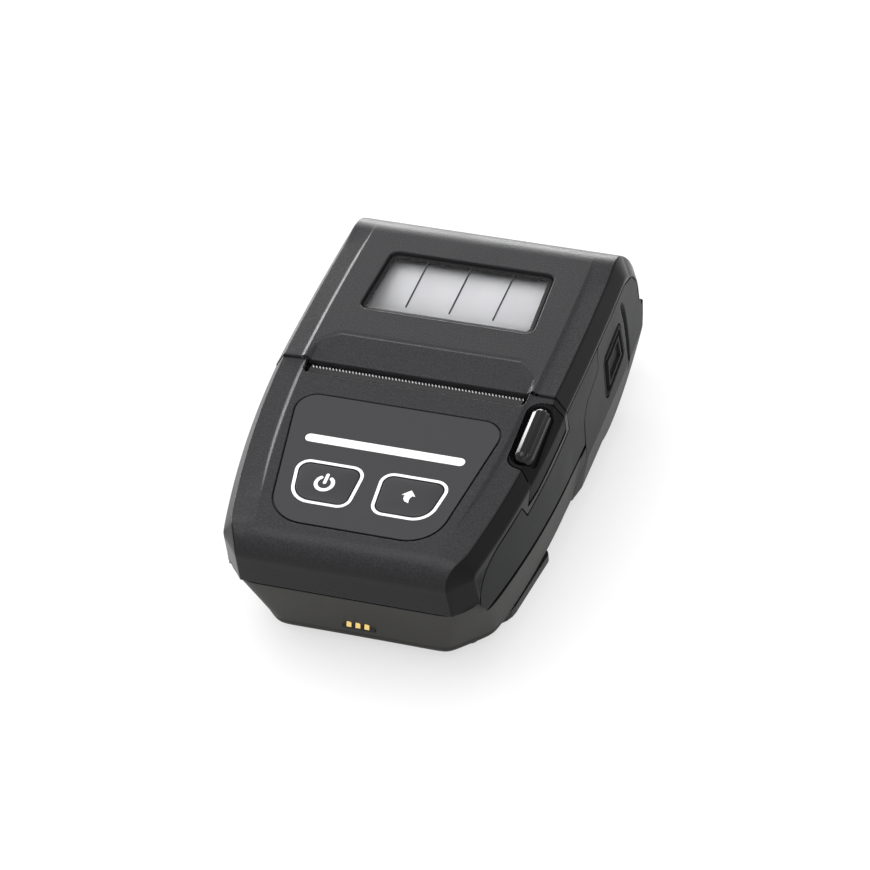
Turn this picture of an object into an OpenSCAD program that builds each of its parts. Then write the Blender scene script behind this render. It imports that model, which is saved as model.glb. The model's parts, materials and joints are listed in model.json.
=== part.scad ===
// Portable receipt printer for 58 mm thermal paper.
// X points to the printer's right, Y to the rear, Z up. The origin is the middle of the base.

/* [Body] */
// Length from the nose to the back of the hinge barrel
body_l = 131.4; // [131.0:0.1:131.8]
// Width across the widest place, beside the paper slot
body_w = 79; // [78.8:0.1:79.4]
// Height from the feet to the top of the lid
body_h = 46.8; // [46.8:0.1:47.2]
// Wall thickness of the plastic shells
wall = 2; // [1.8:0.1:2.1]
// Width of the shut line between two shells
gap = 0.35; // [0.3:0.05:0.4]
// Height of the flat underside above the table
floor_z = 3; // [2.9:0.1:3.2]
// Plan radius of the long sides ahead of the widest place
front_r = 265; // [260:1:270]
// Plan radius of the long sides behind the shut line
rear_r = 1000; // [950:10:1050]
// Lean of the low sides in towards the base, in degrees
tuck = 12.4; // [12:0.1:12.8]

/* [Top edges] */
// Drop of the border strip from the crease to the outer edge
strip_drop = 0.8; // [0.7:0.1:0.9]
// Width of the steep chamfer in plan
cham_w = 3.5; // [3.3:0.1:3.7]
// Height of the steep chamfer
cham_h = 3.9; // [3.7:0.1:4.1]
// Distance from the outer side to the crease on the lid
lid_crease = 8.4; // [8.2:0.1:8.6]
// Distance from the outer side to the crease on the front cover
cover_crease = 9.4; // [9.2:0.1:9.6]

/* [Front cover] */
// Place of the shut line between the lid and the front cover
split_y = -2.8; // [-2.9:0.1:-2.7]
// Slope of the control panel down towards the nose, in degrees
panel_tilt = 5.4; // [5.3:0.1:5.5]
// Height of the front cover at the shut line
panel_z = 46.4; // [46.3:0.1:46.5]
// Radius of the rolled nose
nose_r = 6.5; // [6.3:0.1:6.7]
// Height of the line between the nose and the lower case
nose_edge_z = 24.6; // [24.4:0.1:24.8]
// Height of the shut line along the sides of the lower case
side_seam_z = 20; // [19.8:0.1:20.2]
// Height of the shut line under the lid
lid_seam_z = 41; // [40.9:0.1:41.1]
// Travel of a key
key_travel = 0.5; // [0.4:0.1:0.5]

/* [Paper roll] */
// Outer radius of the bulge round the roll
bulge_r = 25; // [24.9:0.1:25.1]
// Place of the middle of the bulge
roll_y = 40.5; // [40.4:0.1:40.6]
// Width of the paper
roll_w = 58; // [57.5:0.5:58]
// Radius of the part-used roll in the printer
roll_r = 19; // [16:0.5:19]
// Outer radius of the cardboard core
core_r = 8; // [7.5:0.5:8.5]

/* [Print mechanism] */
// Radius of the rubber platen roller
platen_r = 4.5; // [4.4:0.1:4.5]
// Place of the platen's middle
platen_y = 2.05; // [2.0:0.05:2.1]
// Height of the platen's middle
platen_z = 38.5; // [38.4:0.1:38.6]
// Radius of the platen shaft
shaft_r = 1.5; // [1.4:0.1:1.5]
// Radial clearance of a shaft that turns in a bore
run_fit = 0.05; // [0.04:0.01:0.08]
// Tooth pitch of the tear bar
tooth_pitch = 0.9; // [0.8:0.05:1.0]
// Teeth on the tear bar
tooth_count = 64; // [60:1:64]

/* [Gears] */
// Gear module
gear_m = 0.5; // [0.5:0.01:0.5]
// Teeth on the platen gear
platen_t = 18; // [18:1:18]
// Teeth on the idler's small gear
idler_small_t = 14; // [14:1:14]
// Teeth on the idler's large gear
idler_large_t = 36; // [36:1:36]
// Teeth on the motor pinion
pinion_t = 12; // [12:1:12]

/* [Lid] */
// Place of the hinge axis behind the middle
hinge_y = 63.3; // [63.2:0.1:63.4]
// Height of the hinge axis
hinge_z = 22.5; // [22.4:0.1:22.6]
// Radius of the hinge barrel
barrel_r = 2.4; // [2.3:0.1:2.4]
// Radius of the hinge pin
pin_r = 1; // [0.9:0.1:1.0]

/* [Battery] */
// Front end of the battery
battery_y0 = -42.2; // [-42.3:0.1:-42.1]
// Rear end of the battery
battery_y1 = -14.2; // [-14.3:0.1:-14.1]
// Half the width of the battery inside its bay
battery_x = 31.2; // [31:0.1:31.3]
// Height of the top of the battery
battery_z = 19; // [18.8:0.1:19.2]

/* [Hidden] */

charcoal = [0.17, 0.17, 0.175];
satin = [0.1, 0.1, 0.105];
steel = [0.7, 0.71, 0.72];
gold = [0.85, 0.65, 0.25];
green = [0.05, 0.3, 0.15];

half_w = body_w / 2;
nose_y = -body_l / 2;
roll_z = bulge_r;
big = 200;
fine = 360;

// Slope of the rolled nose's face and of the lower case's front face, from the vertical, in degrees
nose_lean = 8.8;
chin_lean = 20;
// Slope of the lower case's cut corners
corner_lean = 23.7;
// Point on the edge between the nose and the lower case
chin = [nose_y + 1.3, nose_edge_z];
// Middle of the nose's rounding, one radius inside the panel plane and the face
nose_c = let (cy = nose_y + nose_r)
  [cy, panel_z + (cy - split_y) * tan(panel_tilt) - nose_r / cos(panel_tilt)];
chin_r = 3;
// Middle of the rounding between the lower case's front face and its floor
chin_c = let (zc = floor_z + chin_r)
  [chin[0] + (chin[1] - zc) * tan(chin_lean) + chin_r / cos(chin_lean), zc];
// Rounding that joins the lid's top to the bulge
crown_r = 12;
crown_dz = body_h - crown_r - roll_z;
crown_dy = sqrt(pow(bulge_r - crown_r, 2) - crown_dz * crown_dz);
crown_a = atan2(crown_dz, crown_dy);
kink_a = asin((roll_z - floor_z) / bulge_r);

// Points along an arc
function arc(c, r, a0, a1, n) =
  [for (i = [0 : n]) let (a = a0 + (a1 - a0) * i / n) c + r * [cos(a), sin(a)]];

// The side view of the whole body, anticlockwise from the chin. It stays open at the top, where
// the lid and the panel planes close it.
side_pts = concat(
  arc(chin_c, chin_r, 180 + chin_lean, 270, 5),
  arc([roll_y, roll_z], bulge_r, kink_a - 180, crown_a, 40),
  arc([roll_y + crown_dy, roll_z + crown_dz], crown_r, crown_a, 90, 8),
  [[roll_y + crown_dy, 60], [nose_c[0], 60]],
  arc(nose_c, nose_r, 90, 180 + nose_lean, 12),
  [chin]);

// Moves each side of an anticlockwise outline inwards by s
function normal(a, b) = let (d = (b - a) / norm(b - a)) [-d[1], d[0]];
function inset(pts, s) = let (n = len(pts)) [for (i = [0 : n - 1])
  let (p = pts[(i + n - 1) % n], q = pts[i], r = pts[(i + 1) % n], u = normal(p, q), v = normal(q, r))
  q + s * (u + v) / (1 + u * v)];

// Rounds each corner of an outline with its own radius
function round_corner(a, p, b, r, n) =
  let (u = (a - p) / norm(a - p), v = (b - p) / norm(b - p), h = acos(u * v) / 2, t = r / tan(h),
    c = p + (u + v) / norm(u + v) * r / sin(h), s = p + u * t - c, e = p + v * t - c,
    a0 = atan2(s[1], s[0]), d0 = atan2(e[1], e[0]) - a0, d = d0 > 180 ? d0 - 360 : d0 < -180 ? d0 + 360 : d0)
  arc(c, r, a0, a0 + d, n);
function rounded(pts, radii, n = 6) = let (m = len(pts)) [for (i = [0 : m - 1])
  each round_corner(pts[(i + m - 1) % m], pts[i], pts[(i + 1) % m], radii[i], n)];

// Stands a side view up along X
module linear_extrude_at(pts, z0, z1) translate([0, 0, z0]) linear_extrude(z1 - z0) polygon(pts);
module along_x(pts, w = big) rotate([90, 0, 90]) linear_extrude(w, center = true) polygon(pts);
// Leans the front cover's own frame on the panel plane
module panel() translate([0, split_y, panel_z]) rotate([panel_tilt, 0, 0]) children();
// A plate in the panel's frame between two heights
module panel_plate(pts, w0, w1) panel() translate([0, 0, w0]) linear_extrude(w1 - w0) polygon(pts);
// A post in the panel's frame
module panel_post(x, s, r, w0, w1) panel() translate([x, s, w0]) cylinder(r = r, h = w1 - w0, $fn = 32);
module pin_x(y, z, r, x0, x1) translate([x0, y, z]) rotate([0, 90, 0])
  cylinder(r = r, h = x1 - x0, $fn = 48);
module post_z(x, y, r, z0, z1) translate([x, y, z0]) cylinder(r = r, h = z1 - z0, $fn = 32);
module block(a, b) translate(a) cube(b - a);
module both_sides() for (side = [-1, 1]) mirror([side < 0 ? 1 : 0, 0, 0]) children();

// Places along Y where the sides are widest, and the heights below which they lean inwards
rear_wide_y = 12;
rear_knee_z = 15;
cover_knee_w = -50;

// One long side as a slice of a huge round solid, widest at y: low wall that leans in below the
// knee, upright wall, steep chamfer, border strip, top
module side_round(side, r, y, top, crease, knee, s)
  translate([side * (half_w - r), y, 0])
    rotate_extrude($fn = fine)
      polygon([[0, -60], [r - s - (knee + 60) * tan(tuck), -60], [r - s, knee],
        [r - s, top - strip_drop - cham_h - s], [r - s - cham_w, top - strip_drop - s],
        [r - s - crease, top - s], [0, top - s]]);

// Cuts one front corner off along a face that leans back below the nose edge
corner_x = 29.5;
module corner_cut(side, lean, s)
  translate([side * corner_x, nose_y + 2.9, nose_edge_z])
    rotate([0, 0, side * 45])
      rotate([lean, 0, 0])
        translate([-50, s - 100, -100])
          cube([100, 100, 200]);

// The chamfer runs on round the crown as a flat face, given by its distance from the origin and
// the two turns that aim it
crown_cut = [66.2, 49.6, 19.9];
module crown_corner(s) rotate([0, crown_cut[1], crown_cut[2]])
  translate([-big / 2, -big / 2, crown_cut[0] - s]) cube([big, big, 50]);

// Form of the lid and the rear of the body
module rear_form(s) difference() {
  intersection() {
    side_round(1, rear_r, rear_wide_y, body_h, lid_crease, rear_knee_z, s);
    side_round(-1, rear_r, rear_wide_y, body_h, lid_crease, rear_knee_z, s);
    along_x(inset(side_pts, s));
  }
  both_sides() crown_corner(s);
}

// Form of the front cover, whose sides and top lean with the panel
module cover_form(s) difference() {
  intersection() {
    panel() side_round(1, front_r, 0, 0, cover_crease, cover_knee_w, s);
    panel() side_round(-1, front_r, 0, 0, cover_crease, cover_knee_w, s);
    along_x(inset(side_pts, s));
  }
  corner_cut(1, 0, s);
  corner_cut(-1, 0, s);
}

// Form of the lower half of the front
module low_form(s) difference() {
  intersection() {
    side_round(1, front_r, split_y, body_h, lid_crease, side_seam_z, s);
    side_round(-1, front_r, split_y, body_h, lid_crease, side_seam_z, s);
    along_x(inset(side_pts, s));
  }
  corner_cut(1, corner_lean, s);
  corner_cut(-1, corner_lean, s);
}

// Where the shells part, each as a side view: behind and above the lid's seam, and behind the rear case's
hinge = [hinge_y, hinge_z];
lid_area = [[split_y, 70], [split_y, lid_seam_z], [49, lid_seam_z], [56.5, 38], [60.5, 32.5], [61.3, 26.5],
  hinge + [-1.5, 2.25], hinge + [0, 2.7], hinge + [6, 2.7], [80, 70]];
rear_area = [[4.8, -5], [80, -5], [80, 60], [23.5, 60], [23.5, 41.5], [22.4, 34], [13, 31.9], [9.2, 28.5],
  [8.5, 14.9], [4.8, 7]];
// The front cover's lower edge runs along the chamfer, and the right side goes down round the lever
seam_w = -6.3;
lever_seam_w = -11.2;
cover_back = -58.6;

module above_cover_seam(extra) panel() {
  translate([-big / 2, -big / 2, seam_w - extra]) cube([big, big / 2 + 5, 60]);
  translate([25, 0, 0]) rotate([90, 0, 90]) linear_extrude(30)
    polygon([[-30 - extra, 0], [-32.2 - extra, seam_w], [-30.2 - extra, lever_seam_w - extra],
      [5, lever_seam_w - extra], [5, 0]]);
}
module nose_area(extra) block([-big / 2, -big / 2, nose_edge_z - extra], [big / 2, cover_back + extra, 60]);
module ahead_of_split(extra) block([-big / 2, -big / 2, -10], [big / 2, split_y - extra, 70]);

// Paper slot: the notch in the front cover's rear edge
slot_x = 30;
slot_y = -8;
module slot_notch() translate([0, 0, 36]) linear_extrude(20)
  polygon(rounded([[-slot_x, slot_y], [slot_x, slot_y], [slot_x, 5], [-slot_x, 5]], [1.5, 1.5, 0.5, 0.5]));

// Control panel: outlines in the panel's frame, mirrored where the photo shows pairs
overlay_pts = rounded([[-21.7, -54.8], [21.7, -54.8], [28.4, -11.9], [-28.4, -11.9]],
  [10, 10, 5.5, 5.5], 10);
key_inset = 0.6;
feed_pts = inset(rounded([[3.3, -47.5], [18.0, -47.5], [20.2, -34.4], [2.5, -34.4]], [3, 5.5, 3, 3]),
  key_inset);
led_s = -26.75;
led_x = 21.3;
led_r = 1.3;
module led_pill(r, w0, w1) panel() translate([0, led_s, w0]) linear_extrude(w1 - w0)
  union() {
    square([2 * (led_x - led_r), 2 * r], center = true);
    for (x = [-1, 1]) translate([x * (led_x - led_r), 0]) circle(r, $fn = 32);
  }
overlay_t = 0.4;
key_proud = 0.2;
board_w = -7.2;
// Top of a switch, and the end of the key's stem that comes near it at full travel
switch_w = board_w + 2.9;
stem_w = switch_w + key_travel + 0.2;
key_c = [11.1, -41.2];

// Release lever pocket: top view and side view
lever_x = 30.9;
lever_s0 = -24.2;
lever_s1 = -2.2;
lever_pts = [[lever_x, lever_s0], [60, lever_s0], [60, lever_s1], [lever_x, lever_s1]];
pocket_w = -9.6;
lever_axis = [-6.5, 42];

module lever_pocket() panel() {
  translate([0, 0, pocket_w]) linear_extrude(30) polygon(rounded(lever_pts, [3.2, 1, 1, 3.2]));
  translate([36.6, 0, 0]) rotate([90, 0, 90]) linear_extrude(10)
    polygon([[lever_s0 + 1, -4.2], [lever_s0 - 5, -8.4], [lever_s0 + 1, pocket_w]]);
}

// Front cover with the recess for the overlay, the key holes, the lever's pocket and its posts
board_posts = [[-21.5, -23], [21.5, -23], [-18.5, -50.5], [18.5, -50.5]];
module front_cover() color(charcoal) difference() {
  union() {
    intersection() {
      difference() { cover_form(0); cover_form(wall); }
      ahead_of_split(gap);
      union() { above_cover_seam(0); nose_area(0); }
    }
    for (p = board_posts) panel_post(p[0], p[1], 1.8, board_w + 1, -wall);
  }
  slot_notch();
  panel_plate(overlay_pts, -overlay_t, 5);
  both_sides() panel_plate(inset(feed_pts, -0.2), -10, 5);
  led_pill(led_r + 0.1, -10, 5);
  lever_pocket();
  for (p = board_posts) panel_post(p[0], p[1], 0.8, board_w, -3.2);
}

module panel_overlay() color([0.2, 0.2, 0.21]) difference() {
  panel_plate(inset(overlay_pts, 0.3), -overlay_t, 0);
  both_sides() panel_plate(inset(feed_pts, -0.2), -10, 5);
  led_pill(led_r + 0.1, -10, 5);
}

module led_window() color("white") {
  led_pill(led_r, -4.4, 0);
  led_pill(led_r + 0.8, -3.2, -wall - 0.05);
}

// A key: its cap, the flange that keeps it in, and the stem down to the switch
module feed_key() color([0.2, 0.2, 0.21]) {
  panel_plate(feed_pts, -3, key_proud);
  panel_plate(inset(feed_pts, -0.9), -3, -wall - 0.1);
  panel_post(key_c[0], key_c[1], 1.6, stem_w, -3);
}
module power_key() mirror([1, 0, 0]) feed_key();
module feed_plunger() color([0.85, 0.85, 0.8]) panel_post(key_c[0], key_c[1], 0.9, -5, stem_w);
module power_plunger() mirror([1, 0, 0]) feed_plunger();

// The small board under the keys, its switches and its lamps
module key_board() color(green) difference() {
  panel_plate(rounded([[-20, -53], [20, -53], [24.5, -21], [-24.5, -21]], [2, 2, 2, 2]),
    board_w, board_w + 1);
  for (p = board_posts) panel_post(p[0], p[1], 0.95, board_w - 1, board_w + 2);
}
module key_board_screws() color(steel) for (p = board_posts) {
  panel_post(p[0], p[1], 1.5, board_w - 0.9, board_w);
  panel_post(p[0], p[1], 0.75, board_w, -3.4);
}
module tact_switches() color([0.15, 0.15, 0.15]) both_sides() difference() {
  panel() translate([key_c[0] - 2.3, key_c[1] - 2.3, board_w + 1]) cube([4.6, 4.6, switch_w - board_w - 1]);
  panel_post(key_c[0], key_c[1], 1, board_w + 1.4, -4);
}
module status_leds() color([1, 1, 0.85]) for (i = [-2 : 2])
  panel() translate([i * 8.5 - 0.8, led_s - 0.5, board_w + 1]) cube([1.6, 1, 0.8]);

// Lower case: floor, front face and low sides, with the battery bay
bay = [battery_x + 0.35, battery_y0 - 0.4, battery_y1 + 0.4, battery_z + 0.4];
bay_t = 0.7;
case_posts = [[26, -49.5], [31, -10.2]];
clip_y = -2;
pad_z = 11;
pad_y = chin[0] + (chin[1] - pad_z) * tan(chin_lean);
module lower_case() color(charcoal) difference() {
  union() {
    intersection() {
      difference() { low_form(0); low_form(wall); }
      difference() {
        union() {
          block([-big / 2, -big / 2, -5], [big / 2, 40, side_seam_z - gap / 2]);
          block([-27.4, -big / 2, 10], [27.4, -55, nose_edge_z - gap / 2]);
          block([-half_w, -big / 2, 10], [half_w, cover_back - 0.2, nose_edge_z - gap / 2]);
        }
        along_x(inset(rear_area, -gap / 2));
      }
    }
    intersection() {
      low_form(wall / 2);
      block([-bay[0] - bay_t, bay[1] - bay_t, floor_z], [bay[0] + bay_t, bay[2] + bay_t, bay[3] + bay_t]);
    }
    both_sides() for (p = case_posts) post_z(p[0], p[1], 2.6, floor_z + 1, 18);
    post_z(0, clip_y, 4.6, floor_z + 1, 9);
  }
  block([-bay[0], bay[1], -5], [bay[0], bay[2], bay[3]]);
  both_sides() for (p = case_posts) {
    post_z(p[0], p[1], 1.05, floor_z - 1, 16);
    post_z(p[0], p[1], 2, floor_z - 1, floor_z + 1.6);
  }
  post_z(0, clip_y, 3, floor_z - 1, 8);
  block([-8, battery_y1 + 1.1, floor_z - 1], [8, battery_y1 + 5.4, floor_z + 3]);
  contact_slot(0.05);
  for (i = [-1.5 : 1.5]) block([i * 6 - 1.3, -33.3, bay[3] - 1], [i * 6 + 1.3, -28.7, bay[3] + 2]);
}

// Charging contacts in the front face
pad_pitch = 2.4;
module on_chin() translate([0, pad_y, pad_z]) rotate([-chin_lean, 0, 0]) children();
module contact_slot(grow) on_chin() translate([-4.4 - grow, -1, -1.8 - grow])
  cube([8.8 + 2 * grow, 4, 3.6 + 2 * grow]);
module contact_block() color(satin) difference() {
  on_chin() translate([-4.4, 0.6, -1.8]) cube([8.8, 2.4, 3.6]);
  charge_pads(0.02);
}
module charge_pads(grow) for (i = [-1 : 1])
  on_chin() translate([i * pad_pitch - 0.65 - grow, 0.25, -1.15 - grow])
    cube([1.3 + 2 * grow, 2.7, 2.3 + 2 * grow]);
module charge_contacts() color(gold) charge_pads(0);

// Rear case: the bulge round the paper roll, up to the lid's seam and the hinge
knuckle_x0 = 27.3;
knuckle_x1 = 31.3;
groove_c = [[46.4, 36.6], [48.5, 26.5], [50, 11]];
function flap_outline(y, r) = rounded([[y, 19], [45.1, 20.6], [42.6, 34], [y, 33.2]], [r, 2.2, 2.6, r]);
port_pts = rounded([[28.6, 20.8], [43, 21.8], [41, 31.7], [28.6, 31.7]], [1, 1, 1, 1], 3);
flap_y = 27;
flap_t = 1.3;
// The bead along the flap's front edge, round about the hinge axis
bead_r = 0.5;
bead_y = flap_y + bead_r;
bead_x = half_w - pow(bead_y - rear_wide_y, 2) / (2 * rear_r) - 0.6;
module side_plate_x(pts, x0, x1) translate([x0, 0, 0]) rotate([90, 0, 90])
  linear_extrude(x1 - x0) polygon(pts);
module groove(a, b, depth) let (d = (b - a) / norm(b - a), n = [-d[1], d[0]] * 0.25)
  both_sides() intersection() {
    difference() { rear_form(-1); rear_form(depth); }
    side_plate_x([a + n, a - n, b - n, b + n], 30, 45);
  }
module rear_case() color(charcoal) difference() {
  union() {
    intersection() {
      difference() { rear_form(0); rear_form(wall); }
      difference() {
        along_x(inset(rear_area, gap / 2));
        along_x(inset(lid_area, -gap));
        block([-knuckle_x0, 55, hinge_z - 3.6], [knuckle_x0, 80, 60]);
        difference() {
          block([-half_w, hinge_y, hinge_z - 5], [half_w, 80, 60]);
          pin_x(hinge_y, hinge_z, barrel_r + 0.2, -half_w, half_w);
          block([-half_w, hinge_y - 3, hinge_z - 6], [half_w, 80, hinge_z]);
        }
      }
    }
    both_sides() {
      pin_x(hinge_y, hinge_z, barrel_r, knuckle_x0, knuckle_x1);
      intersection() {
        rear_form(wall / 2);
        block([knuckle_x0, hinge_y - barrel_r, hinge_z - 6], [knuckle_x1, 70, hinge_z]);
      }
    }
  }
  pin_x(hinge_y, hinge_z, pin_r, -knuckle_x1 + 0.8, knuckle_x1 - 0.8);
  side_skin(inset(flap_outline(flap_y, 0.15), -0.15), -1, flap_t);
  side_plate_x(port_pts, 30, 45);
  groove(groove_c[0], groove_c[1], 0.7);
  groove(groove_c[1], groove_c[2], 0.7);
}

// Side covers: the side walls between the front cover's seam, the lower case and the rear case
module side_cover(side) color(charcoal) intersection() {
  difference() { low_form(0); low_form(wall); }
  block([side > 0 ? 20 : -50, cover_back + gap, side_seam_z + gap / 2], [side > 0 ? 50 : -20, 40, 60]);
  difference() {
    block([-50, -100, 0], [50, 60, lid_seam_z - gap]);
    intersection() { above_cover_seam(gap); ahead_of_split(0); }
    nose_area(gap);
    along_x(inset(rear_area, -gap / 2));
  }
}
module left_side_cover() side_cover(-1);
module right_side_cover() side_cover(1);

// Main board over the battery, with its chips, its wireless module and the head's connector
board_z = 21.4;
board_t = 1.2;
module main_board() color(green)
  linear_extrude_at(rounded([[-22, -55], [22, -55], [28, -12.5], [-28, -12.5]], [2, 2, 2, 2]),
    board_z, board_z + board_t);
module chip(x, y, w, l, h) translate([x - w / 2, y - l / 2, board_z + board_t]) cube([w, l, h]);
module board_chips() color([0.08, 0.08, 0.08]) {
  chip(-2, -31, 14, 14, 1.4);
  chip(14, -34, 10, 12, 1.6);
  chip(-16, -30, 8, 8, 1.2);
  chip(0, -49, 16, 9, 2);
  chip(0, -17.7, 32, 4.5, 4.4);
}
module battery_contacts() color(gold) for (i = [-1.5 : 1.5])
  block([i * 6 - 1, -33, battery_z + 0.25], [i * 6 + 1, -29, board_z]);
module io_board() color(green) block([31.1, 27.8, 18.3], [32.1, 43.8, 34.3]);
jack = [32.2, 26.3];
module dc_jack() color(satin) {
  difference() {
    block([32.1, jack[0] - 3.3, jack[1] - 3.6], [36, jack[0] + 3.3, jack[1] + 3.6]);
    pin_x(jack[0], jack[1], 2.6, 33, 40);
  }
  pin_x(jack[0], jack[1], 0.7, 32.6, 35.6);
}
module usb_port() color(steel) difference() {
  block([32.1, 36.3, 24.7], [36.2, 40.3, 27.5]);
  block([33, 36.7, 25.1], [40, 39.9, 27.1]);
}

// Main frame: the paper bucket and the deck that carries the mechanism
bucket_r = bulge_r - wall - 0.4;
bucket_t = 1.4;
bucket_x = roll_w / 2 + 1.8;
bucket_top = 39.4;
deck_z = 24.9;
frame_posts = [[24, 6.5], [8, 6.5]];
module main_frame() color([0.14, 0.14, 0.15]) difference() {
  union() {
    difference() {
      pin_x(roll_y, roll_z, bucket_r, -bucket_x, bucket_x);
      pin_x(roll_y, roll_z, bucket_r - bucket_t, -bucket_x + 1.2, bucket_x - 1.2);
      block([-50, 10, bucket_top], [50, 70, 60]);
      block([-50, 55.9, hinge_z - 7.2], [50, 70, 60]);
      block([-28.9, 10, 33], [28.9, 30, 60]);
    }
    block([-30, -9.9, deck_z], [30, 19.5, deck_z + 1.1]);
    block([-9, 10, 5.2], [28, 11.6, deck_z]);
  }
  block([-31, -7, 20], [-12, 11, 30]);
  both_sides() for (p = frame_posts) post_z(p[0], p[1], 0.8, 20, 30);
}

// Head frame: bent steel, with side plates whose open slots hold the platen's bushes
plate_x0 = 30.6;
plate_x1 = 31.6;
bush_r = 2.6;
idler_d = gear_m * (platen_t + idler_small_t) / 2;
lift = let (v = [hinge_y - platen_y, platen_z - hinge_z]) [v[1], v[0]] / norm(v);
idler_c = [platen_y, platen_z] - idler_d * lift;
pinion_d = gear_m * (idler_large_t + pinion_t) / 2;
motor_c = idler_c + pinion_d * [sin(7), -cos(7)];
head_axis = [-4.7, 29];
head_pin_r = 0.9;
module bush_slot(r) {
  pin_x(platen_y, platen_z, r, -40, 40);
  translate([0, platen_y, platen_z]) rotate([-atan2(lift[0], lift[1]), 0, 0])
    translate([-40, -r, 0]) cube([80, 2 * r, 20]);
}
module head_frame() color(steel) difference() {
  union() {
    block([-plate_x1, -9.9, 26], [plate_x1, 9, 27]);
    block([-plate_x1, -9.9, 26], [plate_x1, -8.9, 42]);
    both_sides() block([plate_x0, -9.9, 26], [plate_x1, 9, 42]);
    block([-plate_x1, -6.8, 9.5], [-plate_x0, 10.5, 27]);
  }
  bush_slot(bush_r + 0.35);
  pin_x(idler_c[0], idler_c[1], 1, -40, -30);
  pin_x(motor_c[0], motor_c[1], 1.6, -40, -30);
  pin_x(head_axis[0], head_axis[1], head_pin_r, -40, 40);
  both_sides() for (p = frame_posts) post_z(p[0], p[1], 1.1, 20, 30);
}
module frame_screws() color(steel) both_sides() for (p = frame_posts) {
  post_z(p[0], p[1], 1.9, 27, 28);
  post_z(p[0], p[1], 0.75, deck_z + 0.1, 27);
}
module head_pin() color(steel) pin_x(head_axis[0], head_axis[1], head_pin_r - 0.02, -plate_x1, plate_x1);
module idler_pin() color(steel) pin_x(idler_c[0], idler_c[1], 0.98, -37, -plate_x0);

// Print head: the ceramic strip that presses the paper on the platen, on its metal block
head_y = platen_y - platen_r - 0.05;
module print_head() color([0.85, 0.83, 0.78]) block([-27, head_y - 0.9, 31], [27, head_y, 41.5]);
module heat_sink() color(steel) difference() {
  union() {
    block([-28.5, head_y - 3.5, 27.4], [28.5, head_y - 0.9, 41.5]);
    both_sides() pin_x(head_axis[0], head_axis[1], 1.7, 28.5, plate_x0 - 0.3);
  }
  pin_x(head_axis[0], head_axis[1], head_pin_r + run_fit, -40, 40);
}
spring_z = 37.5;
module head_springs() color(steel) for (x = [-14, 14])
  translate([x, head_y - 3.5, spring_z]) rotate([90, 0, 0]) difference() {
    cylinder(r = 2, h = 8.9 + head_y - 3.5, $fn = 32);
    translate([0, 0, -1]) cylinder(r = 1.5, h = 10, $fn = 32);
  }
module head_ribbon() color([0.8, 0.6, 0.3]) translate([-9, 0, 0]) rotate([90, 0, 90]) linear_extrude(18)
  polygon([[-10.3, 40], [-10.3, 29], [-13.5, 27.05], [-13.5, 26.75], [-10, 28.8], [-10, 40]]);
module tear_bar() color(steel) union() {
  translate([0, 0, 44.2]) linear_extrude(0.8)
    polygon(concat([[slot_x - 1, -7.8], [slot_x - 1, -4.3]],
      [for (i = [0 : 2 * tooth_count])
        [(tooth_count / 2 - i / 2) * tooth_pitch, i % 2 == 0 ? -4.35 : -3.65]],
      [[1 - slot_x, -4.3], [1 - slot_x, -7.8]]));
  along_x([[-8.85, 40.3], [-7.95, 40.3], [-7.95, 42.4], [-7, 43.4], [-7, 45], [-7.9, 45], [-7.9, 43.8],
    [-8.85, 42.8]], 56);
}

// Stepper motor
motor_r = 7;
module motor_case() color(steel) difference() {
  pin_x(motor_c[0], motor_c[1], motor_r, -plate_x0, -14);
  pin_x(motor_c[0], motor_c[1], 1.05, -plate_x0 - 1, -20);
}

// Gears, with trimmed teeth so that they run clear at every phase
function gear_pts(t) =
  let (rp = gear_m * t / 2, ra = rp + 0.8 * gear_m, rf = rp - 1.15 * gear_m, q = 360 / t)
  [for (i = [0 : t - 1]) let (a = i * q)
    each [rf * [cos(a - 0.27 * q), sin(a - 0.27 * q)], rp * [cos(a - 0.2 * q), sin(a - 0.2 * q)],
      ra * [cos(a - 0.1 * q), sin(a - 0.1 * q)], ra * [cos(a + 0.1 * q), sin(a + 0.1 * q)],
      rp * [cos(a + 0.2 * q), sin(a + 0.2 * q)], rf * [cos(a + 0.27 * q), sin(a + 0.27 * q)]]];
// A gear on an axis along X, with one tooth pointing along an angle measured from Y towards Z
module gear(t, c, x0, x1, aim) translate([x0, c[0], c[1]]) rotate([90, 0, 90]) rotate(aim)
  linear_extrude(x1 - x0) polygon(gear_pts(t));
mesh_a = atan2(lift[1], lift[0]);
pinion_a = atan2(motor_c[1] - idler_c[1], motor_c[0] - idler_c[0]);
small_x = [-34.2, -32.2];
large_x = [-36.1, -34.7];
module platen_gear() color([0.9, 0.9, 0.86]) difference() {
  gear(platen_t, [platen_y, platen_z], small_x[0], small_x[1], mesh_a + 180 + 180 / platen_t);
  pin_x(platen_y, platen_z, shaft_r, -40, 0);
}
module idler_gear() color([0.9, 0.9, 0.86]) difference() {
  union() {
    gear(idler_small_t, idler_c, small_x[0], small_x[1], mesh_a);
    gear(idler_large_t, idler_c, large_x[0], large_x[1], pinion_a);
    pin_x(idler_c[0], idler_c[1], 2.6, large_x[1], small_x[0]);
  }
  pin_x(idler_c[0], idler_c[1], 1 + run_fit, -40, 0);
}
module motor_pinion() color("goldenrod") {
  gear(pinion_t, motor_c, large_x[0], large_x[1], pinion_a + 180 + 180 / pinion_t);
  pin_x(motor_c[0], motor_c[1], 1, large_x[1] - 0.01, -21);
}

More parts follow.
